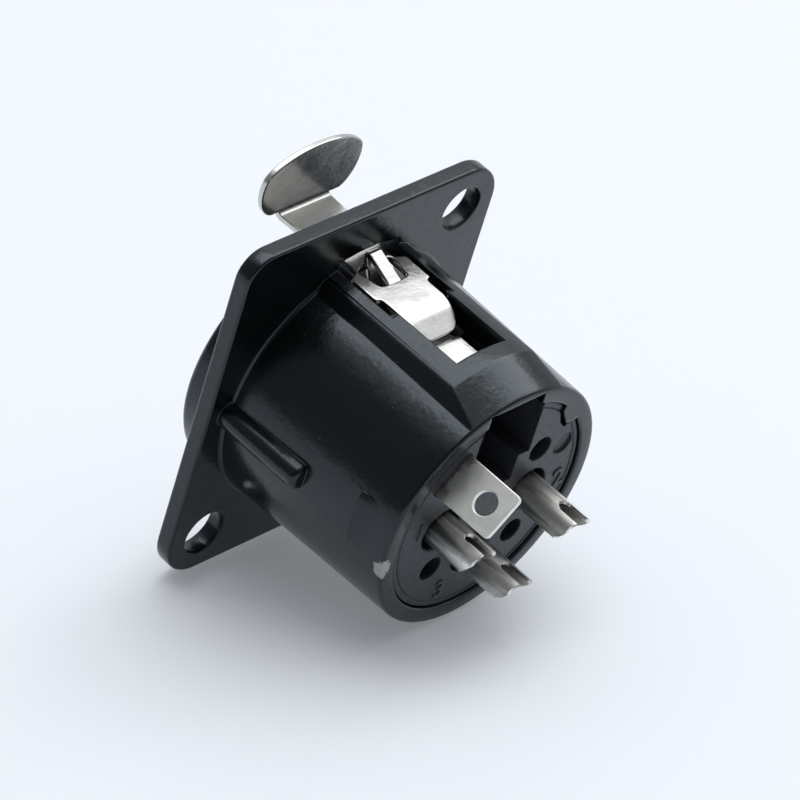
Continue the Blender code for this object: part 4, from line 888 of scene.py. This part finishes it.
HOOK_LINE = [(3.9, 10.83), (2.86, 10.83), (-0.14, 12.115), (1.6, 8.95)]
HOOK_BENDS = (0.8, 0.26)


def along_lever(y):
    """The distance along the blank of a place on the lever's level body."""
    length, turn, radius = bend_plan(LEVER_LINE, LEVER_BENDS)[1][0]
    return length + abs(turn) * radius + LEVER_LINE[1][0] - radius * math.tan(abs(turn) / 2) - y


def smooth_line(points, steps):
    """Points on a smooth line through the given ones, from the second of them to the last."""
    line = [Vector(point) for point in points]
    line.append(Vector((-line[-2].x, line[-2].y)))
    made = []
    for i in range(1, len(line) - 2):
        a, b, c, d = line[i - 1 : i + 3]
        for step in range(steps):
            t = step / steps
            bow, twist = 2 * a - 5 * b + 4 * c - d, 3 * b - a - 3 * c + d
            made.append(tuple((2 * b + (c - a) * t + bow * t * t + twist * t**3) / 2))
    return made + [tuple(line[-2])]


def lever_blank():
    total = blank_length(LEVER_LINE, LEVER_BENDS)
    right = TAIL_CORNER + [(x, along_lever(y)) for x, y in EARS + NECK]
    right += [(x, total - (16.65 - z)) for x, z in smooth_line(TAB_OUTLINE, 6)]
    outline = right + [(-x, y) for x, y in reversed(right) if x > 1e-9]
    (rear_half, rear), (front_half, front), corner = TONGUE_HOLE_REAR, TONGUE_HOLE_FRONT, TONGUE_HOLE_CORNER
    hole = bend_points((rear_half - corner, along_lever(rear) + corner), corner, -90, 0, 5)
    hole += bend_points((front_half - corner, along_lever(front) - corner), corner, 0, 90, 5)
    hole += [(-x, y) for x, y in reversed(hole)]
    blank = blanked_sheet("latch_lever_pressed", [outline, hole], SHEET, 0.12)
    score(blank, [along_lever(-7.0) + 0.35 * i for i in range(2, 20)])
    score(blank, [-4.5 + 0.45 * i for i in range(21)], (1, 0, 0))
    return blank


def dish_tab(piece):
    """Presses the thumb tab a little hollow, so that its rim turns back towards the panel."""
    for vert in piece.data.vertices:
        if vert.co.z < 11.3 or vert.co.y > -6.5:
            continue
        reach = math.hypot(vert.co.x / 5.06, (vert.co.z - DISH_MIDDLE) / 2.9)
        vert.co.y += DISH_DEPTH * min(1.2, reach) ** 2.2


def hook_tongue():
    length = blank_length(HOOK_LINE, HOOK_BENDS)
    outline = [(HOOK_HALF, 0.0), (HOOK_HALF, length), (-HOOK_HALF, length), (-HOOK_HALF, 0.0)]
    tongue = blanked_sheet("tongue", [outline], HOOK_THICKNESS, 0.12)
    bend_to(tongue, HOOK_LINE, HOOK_BENDS)
    return tongue


def cheek_and_lug(side):
    """One bent-down cheek with its pivot lug."""
    left, right = sorted((side * CHEEK_LOW[0], side * CHEEK_HIGH[0]))
    cheek = block("cheek", (left, *CHEEK_LOW[1:]), (right, *CHEEK_HIGH[1:]), CHEEK_EDGE)
    turned = [(0.0, LUG_LENGTH), (LUG_RADIUS - 0.06, LUG_LENGTH), (LUG_RADIUS, LUG_LENGTH - 0.08)]
    lug = lathe("lug", turned + [(LUG_RADIUS, 0.0), (0.0, 0.0)], 32)
    outwards = Matrix.Rotation(-side * math.pi / 2, 4, "Z")
    lug.data.transform(Matrix.Translation((side * 2.15, PIVOT.y, PIVOT.z)) @ outwards)
    return cheek, lug


def lever_plating():
    """Bright nickel, with painted shade on the upright sides of the tongue."""
    surface, tree, add, place, worn = sheet_plating("lever_plating", (0.60, 0.595, 0.57), 0.2, 0.5)
    facing = add("ShaderNodeSeparateXYZ", {0: place.outputs["Normal"]})
    axis = add("ShaderNodeSeparateXYZ", {0: place.outputs["Object"]})
    side = add("ShaderNodeMath", {0: facing.outputs["X"]}, operation="ABSOLUTE")
    across = add("ShaderNodeMath", {0: axis.outputs["X"]}, operation="ABSOLUTE")
    upright = add("ShaderNodeMapRange", {"Value": side.outputs[0], 1: 0.55, 2: 0.8, 3: 0.0, 4: 1.0})
    inner = add("ShaderNodeMath", {0: across.outputs[0], 1: 0.0009}, operation="LESS_THAN")
    raised = add("ShaderNodeMath", {0: axis.outputs["Z"], 1: 0.01108}, operation="GREATER_THAN")
    both = add("ShaderNodeMath", {0: upright.outputs[0], 1: inner.outputs[0]}, operation="MULTIPLY")
    tongue_side_shade = add("ShaderNodeMath", {0: both.outputs[0], 1: raised.outputs[0]}, operation="MULTIPLY")
    # Painted shade: the tongue's upright sides are darkened in their colour.
    tint = add("ShaderNodeMix", {0: tongue_side_shade.outputs[0], 6: worn.outputs[2]}, data_type="RGBA")
    tint.inputs[7].default_value = (0.12, 0.12, 0.11, 1.0)
    tree.links.new(tint.outputs[2], tree.nodes["Principled BSDF"].inputs["Base Color"])
    return surface


lever = lever_blank()
bend_to(lever, LEVER_LINE, LEVER_BENDS)
dish_tab(lever)
cast_on(lever, hook_tongue(), *cheek_and_lug(-1), *cheek_and_lug(1))
finish_piece(lever, lever_plating(), "latch", SHEET_SHARP)
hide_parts("latch_lever")

# ---- Studio ----
# Soft light: a long pale panel from over the socket down to behind it on the right, a dimmer ceiling, and a room
# that grows dim towards the camera. The camera looks down on the rear through a long lens.
FOCAL_PIXELS = 6434.4
LAMP_COLOUR = (0.985, 0.99, 1.0)
VIEW_TURN = Vector((0.7910778, 2.3100734, -0.9405259))
VIEW_SHIFT = Vector((-4.984189, -2.100057, 473.944362))

to_camera = Quaternion(VIEW_TURN.normalized(), VIEW_TURN.length).to_matrix()
camera_place = -(to_camera.transposed() @ VIEW_SHIFT) * 0.001
axes = Matrix((to_camera[0], -to_camera[1], -to_camera[2])).transposed()
lens = bpy.data.cameras.new("camera")
lens.sensor_width = 36.0
lens.lens = 36.0 * FOCAL_PIXELS / 800.0
lens.clip_start = 0.01
lens.clip_end = 10.0
camera = bpy.data.objects.new("camera", lens)
bpy.context.scene.collection.objects.link(camera)
camera.matrix_world = Matrix.Translation(camera_place) @ axes.to_4x4()
bpy.context.scene.camera = camera
towards_camera = (axes.col[2] - table_up * axes.col[2].dot(table_up)).normalized()
towards_right = (axes.col[0] - table_up * axes.col[0].dot(table_up)).normalized()


def room_direction(azimuth, elevation):
    """A direction in the room. Azimuth 0 is towards the camera and 90 to its right. Elevation is above the table."""
    turn, rise = math.radians(azimuth), math.radians(elevation)
    level = towards_camera * math.cos(turn) + towards_right * math.sin(turn)
    return level * math.cos(rise) + table_up * math.sin(rise)


def soft_lamp(name, azimuth, elevation, distance, width, height, radiance, colour):
    """A rectangular lamp that faces the socket, with a plain radiance over its area."""
    lamp = bpy.data.lights.new(name, "AREA")
    lamp.shape = "RECTANGLE"
    lamp.size = width
    lamp.size_y = height
    lamp.energy = radiance * math.pi * width * height
    lamp.color = colour
    holder = bpy.data.objects.new(name, lamp)
    bpy.context.scene.collection.objects.link(holder)
    aim = room_direction(azimuth, elevation)
    across = table_up.cross(aim).normalized()
    turned = Matrix((across, aim.cross(across), aim)).transposed().to_4x4()
    holder.matrix_world = Matrix.Translation(aim * distance) @ turned


soft_lamp("overhead_softbox", 131.0, 70.0, 1.0, 0.55, 1.6, 2.6, LAMP_COLOUR)
soft_lamp("ceiling", 140.0, 75.0, 1.2, 2.4, 2.4, 0.5, LAMP_COLOUR)


def dim_room():
    """The room's own light, from 0.1 on the camera's side to 0.8 behind the table."""
    world = bpy.data.worlds.new("studio")
    bpy.context.scene.world = world
    world.use_nodes = True
    tree = world.node_tree
    place = tree.nodes.new("ShaderNodeTexCoord")
    facing = tree.nodes.new("ShaderNodeVectorMath")
    facing.operation = "DOT_PRODUCT"
    facing.inputs[1].default_value = -towards_camera
    level = tree.nodes.new("ShaderNodeMapRange")
    level.inputs[1].default_value = -1.0
    level.inputs[2].default_value = 1.0
    level.inputs[3].default_value = 0.3
    level.inputs[4].default_value = 0.9
    strength = tree.nodes.new("ShaderNodeMath")
    strength.operation = "POWER"
    strength.inputs[1].default_value = 2.0
    tree.links.new(place.outputs["Generated"], facing.inputs[0])
    tree.links.new(facing.outputs["Value"], level.inputs[0])
    tree.links.new(level.outputs[0], strength.inputs[0])
    room = tree.nodes["Background"]
    room.inputs["Color"].default_value = (0.90, 0.95, 1.0, 1.0)
    tree.links.new(strength.outputs[0], room.inputs["Strength"])


dim_room()

bpy.context.scene.view_settings.view_transform = "Standard"
